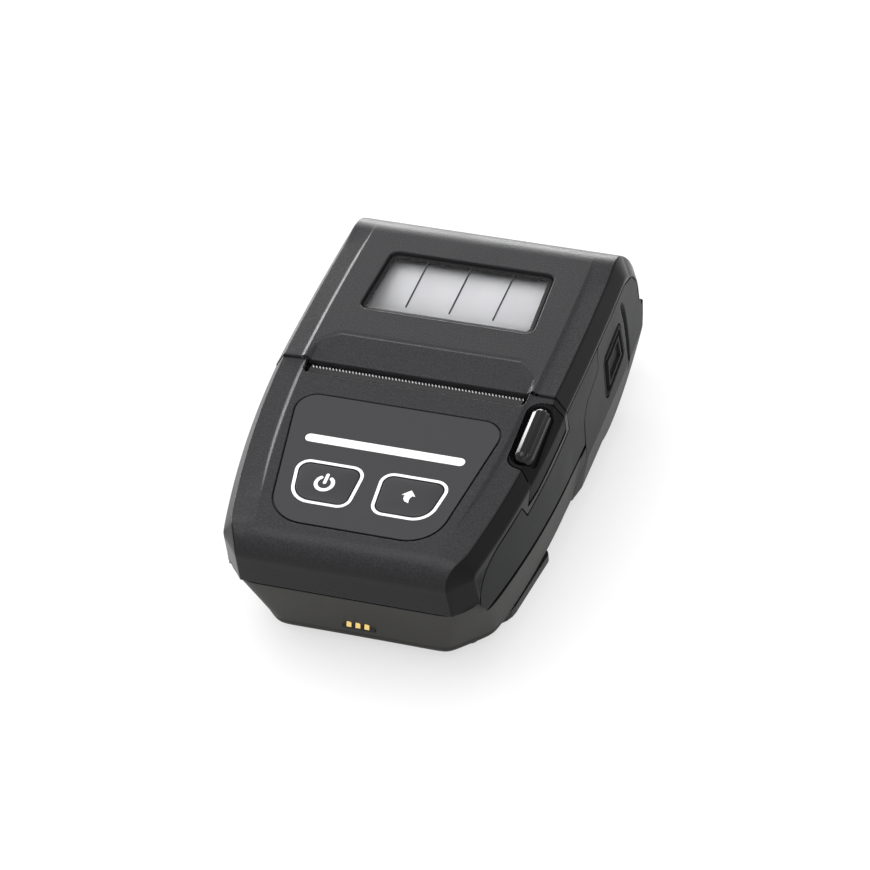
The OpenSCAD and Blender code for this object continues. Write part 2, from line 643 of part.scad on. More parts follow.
// Platen
module platen_roller() color([0.12, 0.12, 0.12]) difference() {
  pin_x(platen_y, platen_z, platen_r, -28.5, 28.5);
  pin_x(platen_y, platen_z, shaft_r, -40, 40);
}
module platen_shaft() color(steel) pin_x(platen_y, platen_z, shaft_r, small_x[0] - 0.2, 33.4);
module platen_bushes() color(steel) both_sides() difference() {
  pin_x(platen_y, platen_z, bush_r, 30.3, 31.9);
  pin_x(platen_y, platen_z, shaft_r + run_fit, 20, 40);
}

// Paper roll
bucket_in = bucket_r - bucket_t;
rest_z = roll_z - bucket_in + 0.15 + roll_r;
module paper_roll() color("white") difference() {
  pin_x(roll_y, rest_z, roll_r, -roll_w / 2, roll_w / 2);
  pin_x(roll_y, rest_z, core_r, -40, 40);
}
module roll_core() color([0.65, 0.5, 0.35]) difference() {
  pin_x(roll_y, rest_z, core_r, -roll_w / 2, roll_w / 2);
  pin_x(roll_y, rest_z, core_r - 1.5, -40, 40);
}

// Lid: outer cover, window, and the inner part that carries the platen and the hinge barrel
window_pts = rounded([[-23.9, 18.3], [23.9, 18.3], [22.6, 42.3], [-22.6, 42.3]], [2.6, 2.6, 2.6, 2.6]);
pane_z = body_h - 0.8;
// The lip: the lid's top slopes down ahead of this line towards the paper slot
lip_y = 7.1;
lip_slope = 6.9;
lip_pts = [[-24.5, 0], [-30.1, -5.3], [-30.5, -12], [30.5, -12], [30.1, -5.3], [24.5, 0]];
module lid_cover() color(charcoal) difference() {
  intersection() {
    difference() { rear_form(0); rear_form(wall); }
    along_x(lid_area);
    difference() {
      block([-50, split_y, 0], [50, 80, 60]);
      pin_x(hinge_y, hinge_z, barrel_r + 0.3, -50, 50);
      block([-50, 55, 0], [50, 80, hinge_z]);
    }
  }
  linear_extrude_at(window_pts, 30, 60);
  translate([0, lip_y, body_h]) rotate([lip_slope, 0, 0]) linear_extrude(5) polygon(lip_pts);
}
module lid_window() color([0.8, 0.85, 0.9, 0.4]) {
  linear_extrude_at(inset(window_pts, 0.15), body_h - wall, pane_z);
  linear_extrude_at(inset(window_pts, -1.2), body_h - wall - 0.9, body_h - wall - 0.02);
}
rib_pitch = 11.9;
module window_ribs() color([0.2, 0.2, 0.2]) for (i = [-1 : 1])
  block([i * rib_pitch - 0.2, 21.8, pane_z], [i * rib_pitch + 0.2, 40.4, pane_z + 0.25]);
ear_x0 = 29;
ear_x1 = 30.2;
liner = wall + 0.05;
liner_t = 1.4;
strap_x = 27;
// The underside of the lid from its front edge over the crown and down the bulge, s below the outside
function lid_path(s, a_end) = concat([[split_y + 0.8, body_h - s]],
  arc([roll_y + crown_dy, roll_z + crown_dz], crown_r - s, 90, crown_a, 8),
  arc([roll_y, roll_z], bulge_r - s, crown_a, a_end, 12));
function reverse(pts) = [for (i = [len(pts) - 1 : -1 : 0]) pts[i]];
module lid_inner() color([0.15, 0.15, 0.155]) difference() {
  union() {
    along_x(concat(lid_path(liner, -3), reverse(lid_path(liner + liner_t, -3))), 2 * strap_x);
    block([-ear_x1, split_y + 0.8, body_h - liner - liner_t], [ear_x1, 11, body_h - liner - 0.3]);
    both_sides()
      block([ear_x0, platen_y - 2.6, platen_z - 2.6], [ear_x1, platen_y + 2.6, body_h - liner - 0.3]);
    pin_x(hinge_y, hinge_z, barrel_r, -strap_x, strap_x);
  }
  linear_extrude_at(inset(window_pts, -1.35), 30, 60);
  pin_x(hinge_y, hinge_z, pin_r + run_fit, -40, 40);
  pin_x(platen_y, platen_z, shaft_r + run_fit, -40, 40);
}
module hinge_pin() color(steel) pin_x(hinge_y, hinge_z, pin_r - 0.01, -knuckle_x1 + 0.9, knuckle_x1 - 0.9);

// Release lever: a rocker whose front end is pressed, so that its arm lifts towards the platen shaft
cap_side_w = -7.6;
lens_r = 2.7;
// At rest the arm is under the shaft by this much, which the lever's full travel nearly closes
arm_lift = 0.75;
arm_z = platen_z - shaft_r - arm_lift;
module release_lever() color(satin) difference() {
  union() {
    intersection() {
      difference() { cover_form(0); cover_form(wall); }
      panel() translate([0, 0, -30]) linear_extrude(60)
        polygon(inset(rounded(lever_pts, [3.2, 1, 1, 3.2]), 0.35));
      panel() rotate([90, 0, 90]) linear_extrude(60)
        polygon([[lever_s0, cap_side_w], [lever_s1, cap_side_w], [lever_s1, 10], [lever_s0, 10]]);
    }
    panel() translate([34.6, -13.6, -1.9]) {
      rotate([90, 0, 0]) cylinder(r = lens_r, h = 13.6, center = true, $fn = 40);
      for (s = [-6.8, 6.8]) translate([0, s, 0]) sphere(r = lens_r, $fn = 40);
    }
    block([33, lever_axis[0] - 14, lever_axis[1] - 1.4], [35.5, lever_axis[0], lever_axis[1] + 1.4]);
    pin_x(lever_axis[0], lever_axis[1], 2, 32, 34.3);
    block([32, lever_axis[0] - 1, arm_z - 1.4], [33.4, lever_axis[0] + 1, lever_axis[1]]);
    block([32, lever_axis[0] - 1, arm_z - 1.4], [33.4, platen_y + 1, arm_z]);
  }
  pin_x(lever_axis[0], lever_axis[1], pin_r + run_fit, 30, 50);
}
module lever_pin() color(steel) {
  pin_x(lever_axis[0], lever_axis[1], pin_r, plate_x1, 36.6);
  block([plate_x1, lever_axis[0] - 1.2, 38], [plate_x1 + 0.3, lever_axis[0] + 1.2, 42]);
}

// Fasteners and the insert for a belt clip
module case_screws() color(steel) both_sides() for (p = case_posts) {
  post_z(p[0], p[1], 1.9, floor_z + 0.5, floor_z + 1.6);
  post_z(p[0], p[1], 1, floor_z + 1.6, 15);
}
clip_r = 1.65;
module belt_insert() color("goldenrod") difference() {
  post_z(0, clip_y, 2.98, floor_z, 8);
  post_z(0, clip_y, clip_r, floor_z - 1, 8.5);
}

// Battery: the pack whose base is the low foot under the nose
foot_pts = rounded([[-32.8, battery_y0 - 0.6], [32.8, battery_y0 - 0.6], [36.2, battery_y1 + 0.6],
  [-36.2, battery_y1 + 0.6]], [8, 8, 2.5, 2.5]);
module battery_case() color([0.12, 0.12, 0.125]) difference() {
  union() {
    block([-battery_x, battery_y0, floor_z - 0.2], [battery_x, battery_y1, battery_z]);
    linear_extrude_at(foot_pts, 0.7, floor_z - 0.1);
    linear_extrude_at(inset(foot_pts, 0.7), 0, 0.7);
  }
  block([-battery_x + 1.2, battery_y0 + 1.2, 4], [battery_x - 1.2, battery_y1 - 1.2, battery_z - 1.2]);
}
module battery_cells() color([0.3, 0.45, 0.6]) both_sides()
  linear_extrude_at(rounded([[0.4, battery_y0 + 1.5], [battery_x - 1.5, battery_y0 + 1.5],
    [battery_x - 1.5, battery_y1 - 1.5], [0.4, battery_y1 - 1.5]], [2, 2, 2, 2]), 4.2, 17.4);
module battery_terminals() color(gold) for (i = [-1.5 : 1.5])
  block([i * 6 - 1.4, -34, battery_z], [i * 6 + 1.4, -28, battery_z + 0.15]);
module battery_latch() color(satin) {
  block([-7.6, battery_y1 + 1.5, floor_z + 0.4], [7.6, battery_y1 + 3.1, floor_z + 2.2]);
  block([-4, battery_y1 + 1.8, floor_z - 0.6], [4, battery_y1 + 2.8, floor_z + 0.4]);
}

// Rubber flap over the sockets, hinged at its front edge
// A patch of the curved right side between two depths below its surface
module side_skin(pts, s0, s1) intersection() {
  side_plate_x(pts, 30, 45);
  translate([half_w - rear_r, rear_wide_y, 15]) difference() {
    cylinder(r = rear_r - s0, h = 25, $fn = fine);
    translate([0, 0, -1]) cylinder(r = rear_r - s1, h = 27, $fn = fine);
  }
}
module port_cover() color(satin) {
  side_skin(flap_outline(bead_y, 0.6), 0, flap_t - 0.1);
  post_z(bead_x, bead_y, bead_r, 19.7, 32.5);
}

lower_case();
rear_case();
left_side_cover();
right_side_cover();
front_cover();
panel_overlay();
led_window();
key_board();
key_board_screws();
tact_switches();
status_leds();
main_board();
board_chips();
battery_contacts();
contact_block();
charge_contacts();
io_board();
dc_jack();
usb_port();
main_frame();
head_frame();
head_pin();
head_springs();
head_ribbon();
tear_bar();
idler_pin();
motor_case();
case_screws();
frame_screws();
belt_insert();
hinge_pin();
lever_pin();
lid_cover();
lid_inner();
lid_window();
window_ribs();
platen_bushes();
platen_roller();
platen_shaft();
platen_gear();
idler_gear();
motor_pinion();
paper_roll();
roll_core();
heat_sink();
print_head();
release_lever();
power_key();
power_plunger();
feed_key();
feed_plunger();
battery_case();
battery_cells();
battery_terminals();
battery_latch();
port_cover();
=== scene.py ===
# %% [markdown]
# A portable receipt printer, dressed in Blender
#
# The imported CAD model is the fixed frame: every node is already in its place, in metres, with +X to the
# printer's right, +Y to its rear and +Z up. This file gives the nodes their finishes, and makes new
# surfaces with numpy where the real shells have soft, rolled edges that plain solids do not.

# %% Load the frame
import json
import math

import bmesh
import bpy
import numpy as np
from mathutils import Matrix, Vector


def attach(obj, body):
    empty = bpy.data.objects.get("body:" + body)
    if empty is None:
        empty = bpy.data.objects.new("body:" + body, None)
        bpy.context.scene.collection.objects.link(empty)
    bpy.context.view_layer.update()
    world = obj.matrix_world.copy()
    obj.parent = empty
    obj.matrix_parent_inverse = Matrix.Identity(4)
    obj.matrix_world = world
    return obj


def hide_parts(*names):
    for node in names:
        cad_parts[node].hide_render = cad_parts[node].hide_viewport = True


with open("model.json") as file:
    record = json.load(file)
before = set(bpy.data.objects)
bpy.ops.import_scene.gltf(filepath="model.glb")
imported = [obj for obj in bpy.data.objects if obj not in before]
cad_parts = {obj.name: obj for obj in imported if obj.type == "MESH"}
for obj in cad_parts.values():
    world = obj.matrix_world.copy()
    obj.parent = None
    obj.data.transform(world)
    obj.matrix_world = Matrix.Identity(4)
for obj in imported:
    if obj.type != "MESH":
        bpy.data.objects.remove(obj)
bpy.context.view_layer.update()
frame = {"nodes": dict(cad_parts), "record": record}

MM = 0.001

# %% [markdown]
# The picture is judged from where the photo was taken. Fitting the lid's ribs, window and panel lines gave
# a long lens, 5 degrees of roll, and a view from the front right, 42 degrees above the table. A Track To
# constraint could aim the camera but gives no roll, so its matrix is written out. The rows of the rotation
# are the picture's right, down and forward directions, in the printer's own axes.

# %% Camera
turn = np.array([[0.9432, 0.3211, -0.0853], [0.1546, -0.6512, -0.7430], [-0.2941, 0.6876, -0.6639]])
fit_seen = np.array([3.655, -31.271, 1138.854])  # the fit's origin, in mm right, down and ahead of the lens
fit_origin = np.array([0, 21.8, 46])  # the same point in the printer's frame
focal_px, picture_px, sensor_mm = 4400, 870, 36

u_svd, _, v_svd = np.linalg.svd(turn)
turn = u_svd @ v_svd  # the nearest true rotation to the rounded numbers
stand = fit_origin - turn.T @ fit_seen
camera = bpy.data.objects.new("camera", bpy.data.cameras.new("camera"))
bpy.context.scene.collection.objects.link(camera)
pose = np.eye(4)
pose[:3, 0], pose[:3, 1], pose[:3, 2], pose[:3, 3] = turn[0], -turn[1], -turn[2], stand * MM
camera.matrix_world = Matrix(pose.tolist())
camera.data.sensor_width = sensor_mm
camera.data.lens = sensor_mm * focal_px / picture_px
camera.data.clip_start, camera.data.clip_end = 0.05, 20
bpy.context.scene.camera = camera
print("camera stands at", stand.round(1), "mm with a", round(camera.data.lens, 1), "mm lens")

# %% [markdown]
# The printer stands on white paper in plain, soft light. White walls round it would also show in every
# polished band. So the world is white to the camera and to reflections, and a little weaker as a lamp.

# %% World
def math_node(tree, kind, *values):
    """A Math node whose inputs are sockets or numbers."""
    node = tree.nodes.new("ShaderNodeMath")
    node.operation = kind
    for slot, value in zip(node.inputs, values):
        if isinstance(value, (int, float)):
            slot.default_value = value
        else:
            tree.links.new(value, slot)
    return node.outputs[0]


def rays_of_sight(tree):
    """1 for rays from the camera, off a mirror or through a pane, and 0 for rays that only bring light."""
    path = tree.nodes.new("ShaderNodeLightPath")
    direct = math_node(tree, "MAXIMUM", path.outputs["Is Camera Ray"], path.outputs["Is Glossy Ray"])
    return math_node(tree, "MAXIMUM", direct, path.outputs["Is Transmission Ray"])


def mixed(tree, share, first, second):
    """One shader out of two: the first where the share is 0, the second where it is 1."""
    pick = tree.nodes.new("ShaderNodeMixShader")
    for slot, socket in zip(pick.inputs, (share, first, second)):
        tree.links.new(socket, slot)
    return pick.outputs[0]


scene = bpy.context.scene
scene.view_settings.view_transform = "Standard"
lamp_strength, backdrop_strength = 0.95, 1.0
scene.world = bpy.data.worlds.new("studio")
scene.world.use_nodes = True
sky = scene.world.node_tree
sky.nodes.clear()
whites = []
for strength in (lamp_strength, backdrop_strength):
    background = sky.nodes.new("ShaderNodeBackground")
    background.inputs["Color"].default_value = (1, 1, 1, 1)
    background.inputs["Strength"].default_value = strength
    whites.append(background.outputs[0])
sky_end = sky.nodes.new("ShaderNodeOutputWorld")
sky.links.new(mixed(sky, rays_of_sight(sky), *whites), sky_end.inputs[0])
print("world: strength", lamp_strength, "as a lamp and", backdrop_strength, "as a backdrop")

# %% [markdown]
# Three soft boxes draw the highlights: a large one overhead, a weak one in front, and a low strip behind
# that lights the bands. The floor is a large sheet, staged so that it isn't taken for a piece of the
# printer.

# %% Lamps and floor
lamps = {"key_box": ((-160, -20, 850), 650, 650, 4), "front_box": ((300, -600, 500), 600, 600, 0.8),
         "rear_strip": ((-560, 690, 120), 1100, 240, 11)}  # place, width and height in mm, and watts
lamp_aim = np.array([0, 0, 25.0])
for name, (where, wide, tall, watts) in lamps.items():
    light = bpy.data.lights.new(name, "AREA")
    light.shape, light.size, light.size_y, light.energy = "RECTANGLE", wide * MM, tall * MM, watts
    soft_box = bpy.data.objects.new(name, light)
    scene.collection.objects.link(soft_box)
    soft_box.location = [v * MM for v in where]
    soft_box.rotation_euler = Vector(lamp_aim - where).to_track_quat("-Z", "Y").to_euler()

floor_reach = 3.0  # in metres
floor_corners = [(x * floor_reach, y * floor_reach, 0) for x, y in ((-1, -1), (1, -1), (1, 1), (-1, 1))]
floor = bpy.data.objects.new("floor", bpy.data.meshes.new("floor"))
floor.data.from_pydata(floor_corners, [], [(0, 1, 2, 3)])
scene.collection.objects.link(floor)
print("stage:", len(lamps), "soft boxes and a floor of", 2 * floor_reach, "m")

# %% [markdown]
# Finishes. A moulded plastic is never one flat colour: the tool leaves a fine grain that scatters the
# light. Each material could hold its own noise, but then every change would be made in each of them. The
# grain is one node group instead, which each finish uses at its own size and depth.

# %% Node group: moulded grain
def new_group(name, inputs, outputs):
    """A shader node group with named sockets. inputs and outputs are (name, kind, value) rows."""
    group = bpy.data.node_groups.new(name, "ShaderNodeTree")
    for side, rows in (("INPUT", inputs), ("OUTPUT", outputs)):
        for label, kind, value in rows:
            socket = group.interface.new_socket(label, in_out=side, socket_type="NodeSocket" + kind)
            if value is not None and side == "INPUT":
                socket.default_value = value
    return group, group.nodes.new("NodeGroupInput"), group.nodes.new("NodeGroupOutput")


grain_group, grain_in, grain_out = new_group(
    "moulded_grain",
    [("Color", "Color", (0.1, 0.1, 0.1, 1)), ("Size", "Float", 0.35), ("Speckle", "Float", 0.25),
     ("Roughness", "Float", 0.5)],
    [("Color", "Color", None), ("Roughness", "Float", None), ("Height", "Float", None)])
wire = grain_group.links.new
places = grain_group.nodes.new("ShaderNodeTexCoord")


def noise_node(detail):
    """A noise on the piece's own coordinates."""
    noise = grain_group.nodes.new("ShaderNodeTexNoise")
    noise.inputs["Detail"].default_value = detail
    wire(places.outputs["Object"], noise.inputs["Vector"])
    return noise


def swing(noise, by, base):
    """(noise - 0.5) * by + base."""
    centred = math_node(grain_group, "SUBTRACT", noise.outputs["Fac"], 0.5)
    return math_node(grain_group, "MULTIPLY_ADD", centred, by, base)


fine, cloud = noise_node(3), noise_node(2)
cloud_scale, cloud_swing = 60, 0.12
wire(math_node(grain_group, "DIVIDE", 1000, grain_in.outputs["Size"]), fine.inputs["Scale"])
cloud.inputs["Scale"].default_value = cloud_scale
tint = grain_group.nodes.new("ShaderNodeVectorMath")
tint.operation = "SCALE"
wire(grain_in.outputs["Color"], tint.inputs[0])
wire(swing(fine, grain_in.outputs["Speckle"], 1), tint.inputs["Scale"])
wire(tint.outputs[0], grain_out.inputs["Color"])
wire(swing(cloud, cloud_swing, grain_in.outputs["Roughness"]), grain_out.inputs["Roughness"])
wire(fine.outputs["Fac"], grain_out.inputs["Height"])
print("grain group with", len(grain_group.nodes), "nodes")

# %% [markdown]
# The shells are matt charcoal with a polished band; inside are steel, gold, rubber, paper and board. Image
# textures would need unwrapped meshes, which CAD meshes aren't. So every finish is one call of the same
# function, and the numbers say how it differs from the others.

# %% One function for all finishes
def grained(name, color, roughness, size=0.35, speckle=0.25, bump=0.02, specular=0.5, metallic=0, band_and_shade_color=None):
    """A moulded or metal finish: the grain group feeds colour, roughness and a bump. With a second colour,
    the mesh's own attribute "polish" fades the colour to it between 0 and 0.5: along the edge of
    the polished band, and as painted shade on the lower nose."""
    material = bpy.data.materials.new(name)
    material.use_nodes = True
    tree = material.node_tree
    shader = tree.nodes["Principled BSDF"]
    grain = tree.nodes.new("ShaderNodeGroup")
    grain.node_tree = grain_group
    settings = {"Color": (*color, 1), "Size": size, "Speckle": speckle, "Roughness": roughness}
    for label, value in settings.items():
        grain.inputs[label].default_value = value
    tree.links.new(grain.outputs["Color"], shader.inputs["Base Color"])
    tree.links.new(grain.outputs["Roughness"], shader.inputs["Roughness"])
    if bump:
        relief = tree.nodes.new("ShaderNodeBump")
        relief.inputs["Strength"].default_value = 1
        relief.inputs["Distance"].default_value = bump * MM
        tree.links.new(grain.outputs["Height"], relief.inputs["Height"])
        tree.links.new(relief.outputs["Normal"], shader.inputs["Normal"])
    shader.inputs["Specular IOR Level"].default_value = specular
    shader.inputs["Metallic"].default_value = metallic
    if band_and_shade_color:
        # where the attribute lies between 0 and 0.5 the colour fades to the darker one: the polished band's
        # edge, and painted shade on the lower nose
        level = tree.nodes.new("ShaderNodeAttribute")
        level.attribute_name = "polish"
        fade = tree.nodes.new("ShaderNodeMix")  # with colours, inputs 6 and 7 are mixed into output 2
        fade.data_type = "RGBA"
        tree.links.new(math_node(tree, "MULTIPLY", level.outputs["Fac"], 2), fade.inputs[0])
        tree.links.new(grain.outputs["Color"], fade.inputs[6])
        fade.inputs[7].default_value = (*band_and_shade_color, 1)
        tree.links.new(fade.outputs[2], shader.inputs["Base Color"])
    return material


def hexa(code):
    """A colour code in linear light: c / 12.92 up to 0.04045, and ((c + 0.055) / 1.055)^2.4 above it."""
    parts = [int(code[i:i + 2], 16) / 255 for i in (0, 2, 4)]
    return tuple(c / 12.92 if c <= 0.04045 else ((c + 0.055) / 1.055) ** 2.4 for c in parts)


print("the shell's charcoal as linear light:", np.round(hexa("262628"), 4))

# %% The finishes
finish = {
    # the shell's last colour, 0b0b0c, is the darker tone for the band's edge and for the painted shade on the
    # lower nose
    "shell": grained("charcoal_shell", hexa("262628"), 0.4, 0.45, 2.0, 0.05, 0.18, 0, hexa("0b0b0c")),
    "band": grained("polished_band", hexa("0f0f10"), 0.28, 0.5, 0.15, 0.004, 0.1),
    "shell_low": grained("warm_low_shell", hexa("262523"), 0.5, 0.35, 0.4, 0.02, 0.15),
    "shell_side": grained("black_side", hexa("18191a"), 0.4, 0.5, 0.2, 0.01, 0.06),
    "print_white": grained("white_ink", (0.82, 0.82, 0.83), 0.5, 0.5, 0.04, 0.002, 0.3),
    "lever_black": grained("lever_black", hexa("101011"), 0.45, 1.0, 0.2, 0.002, 0.05),
    "tooth_steel": grained("ground_teeth", (0.8, 0.8, 0.81), 0.5, 0.3, 0.1, 0.002, 0.5, 0.3),
    "dark_steel": grained("blackened_steel", hexa("1b1b1c"), 0.4, 0.4, 0.3, 0.005, 0.3),
    "overlay": grained("panel_film", hexa("313133"), 0.5, 0.3, 0.4, 0.02, 0.2),
    "diffuser": grained("milky_plastic", (0.85, 0.85, 0.86), 0.35, 1.0, 0.05, 0),
    "circuit": grained("solder_mask", (0.01, 0.10, 0.04), 0.35, 0.6, 0.4, 0.02),
    "steel": grained("plain_steel", (0.55, 0.55, 0.56), 0.32, 0.2, 0.3, 0.005, 0.5, 1),
    "black_plastic": grained("black_plastic", hexa("141415"), 0.45, 0.4, 0.3, 0.01, 0.3),
    "gold": grained("gold_plate", (0.85, 0.60, 0.22), 0.25, 0.3, 0.2, 0.003, 0.5, 1),
    "inner_plastic": grained("inner_plastic", hexa("1c1c1d"), 0.55, 0.4, 0.3, 0.02, 0.3),
    "ribbon": grained("ribbon_film", (0.50, 0.26, 0.06), 0.3, 0.8, 0.2, 0.005),
    "brass": grained("turned_brass", (0.72, 0.52, 0.22), 0.3, 0.2, 0.2, 0.004, 0.5, 1),
    "rubber": grained("platen_rubber", hexa("1a1a1a"), 0.75, 0.3, 0.3, 0.01, 0.3),
    "gear_plastic": grained("gear_plastic", (0.72, 0.71, 0.64), 0.4, 0.5, 0.1, 0.005),
    "paper": grained("thermal_paper", (0.86, 0.86, 0.85), 0.6, 0.15, 0.1, 0.004, 0.3),
    "cardboard": grained("core_board", (0.38, 0.27, 0.16), 0.85, 0.4, 0.5, 0.03, 0.2),
    "aluminium": grained("extruded_aluminium", (0.66, 0.67, 0.68), 0.38, 0.25, 0.2, 0.006, 0.5, 1),
    "ceramic": grained("glazed_ceramic", (0.72, 0.70, 0.64), 0.2, 0.8, 0.1, 0.002),
    "gloss_black": grained("gloss_black", hexa("060607"), 0.12, 1.0, 0.1, 0, 0.28),
    "key_plastic": grained("key_film", hexa("2a2a2c"), 0.42, 0.25, 0.3, 0.01, 0.25),
    "cell_wrap": grained("cell_wrap", (0.05, 0.12, 0.24), 0.3, 1.0, 0.1, 0.003),
    "rubber_flap": grained("flap_rubber", hexa("151516"), 0.5, 0.3, 0.2, 0.01, 0.06),
}
print(len(finish), "grained finishes")

# %% Clear pane, and the finishes on the nodes
pane = bpy.data.materials.new("clear_pane")
pane.use_nodes = True
clear = {"Base Color": (0.9, 0.9, 0.92, 1), "Transmission Weight": 1, "Roughness": 0.03, "IOR": 1.3}
for label, value in clear.items():
    pane.node_tree.nodes["Principled BSDF"].inputs[label].default_value = value
finish["smoke_window"] = pane
slots = {row["node"]: row["material_slot"] for row in frame["record"]["subparts"]}
for node, made in frame["nodes"].items():
    made.data.materials.clear()
    made.data.materials.append(finish[slots[node]])
print(len(finish), "finishes on", len(slots), "nodes")

# %% [markdown]
# The paper under the printer shows next to no shadow. Without a floor the printer would float, and with
# plain paper its shadow is too dark. So the sheet's shading is mixed with a white glow that only sight
# meets.

# %% Paper floor
glow_share = 0.6
paper_floor = grained("floor_paper", (0.9, 0.9, 0.9), 0.9, 2, 0.02, 0, 0.1)
floor.data.materials.append(paper_floor)
sheet = paper_floor.node_tree
sheet_end = next(node for node in sheet.nodes if node.type == "OUTPUT_MATERIAL")
shaded = sheet_end.inputs["Surface"].links[0].from_socket
glow = sheet.nodes.new("ShaderNodeEmission")
glow.inputs["Strength"].default_value = 1.0
share = math_node(sheet, "MULTIPLY", rays_of_sight(sheet), glow_share)
sheet.links.new(mixed(sheet, share, shaded, glow.outputs[0]), sheet_end.inputs["Surface"])
print("floor with", glow_share, "of glow")

# %% [markdown]
# The real shells are moulded: every edge is rolled, a narrow bevel runs along each side, and the band below
# it is polished. They could be boxes with a Bevel modifier, but the bands taper and turn round the crown
# and the nose, so here each shell is a cross-section carried along the printer's side view, as numpy
# arrays.

# %% Widths and side views
LEAN = math.tan(math.radians(12.4))  # the low sides lean in by 12.4 degrees
TILT = math.radians(5.4)  # the control panel slopes down to the nose
SPLIT_Y, PANEL_Z, TOP_Z = -2.8, 46.4, 46.8  # the shut line, and the heights of panel and lid beside it
# middles in (y, z) and radii of the nose, the paper roll's bulge and the crown, and the hinge's middle
NOSE, NOSE_R = np.array([-59.2, 34.54]), 6.5
ROLL, BULGE_R = np.array([40.5, 25.0]), 25.0
CROWN, CROWN_R = np.array([49.04, 34.8]), 12.0
HINGE = np.array([63.3, 22.5])
FRONT_HALF, FRONT_BEND_R = 39.41, 265
REAR_HALF, REAR_BEND_R, WIDEST_Y = 39.5, 1000, 12


def half_width(y, z):
    """Half the width: an arc of 265 mm ahead of the shut line, a parabola as flat as a 1000 mm arc behind
    it, less the lean of the low sides, which starts 20 mm up in front and 15 mm up behind."""
    front = FRONT_HALF - FRONT_BEND_R + np.sqrt(FRONT_BEND_R ** 2 - np.clip(y - SPLIT_Y, -80, 0) ** 2)
    rear = REAR_HALF - (y - WIDEST_Y) ** 2 / (2 * REAR_BEND_R)
    knee = np.interp(y, [4, 10], [20, 15])
    return np.where(y < SPLIT_Y, front, rear) - LEAN * np.clip(knee - z, 0, None)


def arc_points(centre, radius, start, stop, count=30):
    """Points round a centre between two angles in degrees."""
    turn_by = np.radians(np.linspace(start, stop, count))
    return centre + radius * np.stack([np.cos(turn_by), np.sin(turn_by)], -1)


def resample(points, step):
    """The same polyline with evenly spaced points, and the distance run at each."""
    points = np.asarray(points, float)
    run = np.r_[0, np.cumsum(np.linalg.norm(np.diff(points, axis=0), axis=1))]
    at = np.linspace(0, run[-1], int(round(run[-1] / step)) + 1)
    return np.stack([np.interp(at, run, points[:, k]) for k in (0, 1)], -1), at


def unit(v):
    """Vectors scaled to length one."""
    return v / np.maximum(np.linalg.norm(v, axis=-1, keepdims=True), 1e-12)


def side_normals(path, turn_sign):
    """The outward normal at each point of a side view: its direction turned by a quarter."""
    way = unit(np.gradient(path, axis=0))
    return turn_sign * np.stack([-way[:, 1], way[:, 0]], -1)


def blend(a, b, at):
    """0 before a, 1 after b, and a smooth S between them."""
    t = np.clip((np.asarray(at, float) - a) / (b - a), 0, 1)
    return t * t * (3 - 2 * t)


def parabola(start, corner, stop, t):
    """(1 - t)^2 start + 2t(1 - t) corner + t^2 stop: at both ends it runs towards the corner."""
    return (1 - t) ** 2 * start + 2 * t * (1 - t) * corner + t ** 2 * stop


def softened(corners, reach, fill):
    """Polylines with rounded corners: each inner corner becomes a parabola between two points a reach away
    from it, or 0.45 of its shorter side. fill[j] points are set evenly along each straight stretch."""
    count = corners.shape[1]
    rows = [corners[:, 0]]
    for j in range(1, count):
        last = rows[-1]
        if j < count - 1:
            back, on = corners[:, j - 1] - corners[:, j], corners[:, j + 1] - corners[:, j]
            room = np.minimum(np.linalg.norm(back, axis=-1), np.linalg.norm(on, axis=-1)) * 0.45
            cut_back = np.minimum(reach[j - 1], room)[:, None]
            start, stop = corners[:, j] + unit(back) * cut_back, corners[:, j] + unit(on) * cut_back
        else:
            start = corners[:, j]
        for t in np.linspace(0, 1, fill[j - 1] + 2)[1:-1]:
            rows.append(last + (start - last) * t)
        if j < count - 1:
            for t in np.linspace(0, 1, 5):
                rows.append(parabola(start, corners[:, j], stop, t))
        else:
            rows.append(start)
    return np.stack(rows, 1)


print("half width beside the slot:", round(float(half_width(np.array(-3.0), np.array(40.0))), 2), "mm")

# %% [markdown]
# A patch is a grid of points with two coordinates of its own, like the threads of a cloth: X across and S
# along. A hole is cut by dropping the cells inside its outline and sliding the cells' corners next to it
# onto the outline, so the rim is smooth and nothing needs a boolean.

# %% Patches and holes
def patch(points, across=0, along=0):
    """A grid surface: points (rows, columns, 3), its own coordinates X and S, and a polish of 0."""
    shape = points.shape[:2]
    own = {key: np.broadcast_to(np.asarray(value, float), shape).copy()
           for key, value in (("X", across), ("S", along), ("polish", 0))}
    return {"P": points, **own, "keep": np.ones((shape[0] - 1, shape[1] - 1), bool)}


def outline_distance(outline, x, s):
    """Signed distance to a closed outline, negative inside, and the nearest point on it. A point is inside
    when a ray from it crosses an odd number of sides."""
    a = np.asarray(outline, float)
    side = np.roll(a, -1, 0) - a
    p = np.stack([x, s], -1).reshape(-1, 1, 2)
    t = np.clip(((p - a) * side).sum(-1) / (side ** 2).sum(-1), 0, 1)
    near = a + t[..., None] * side
    far = np.linalg.norm(p - near, axis=-1)
    best = far.argmin(1)
    span = np.where(side[:, 1] == 0, 1e-12, side[:, 1])
    crossed = ((a[:, 1] > p[..., 1]) != (a[:, 1] + side[:, 1] > p[..., 1])) & (
        p[..., 0] < a[:, 0] + (p[..., 1] - a[:, 1]) * side[:, 0] / span)
    inside = crossed.sum(1) % 2 == 1
    pick = np.arange(len(best))
    signed = np.where(inside, -1, 1) * far[pick, best]
    return signed.reshape(x.shape), near[pick, best].reshape(x.shape + (2,))


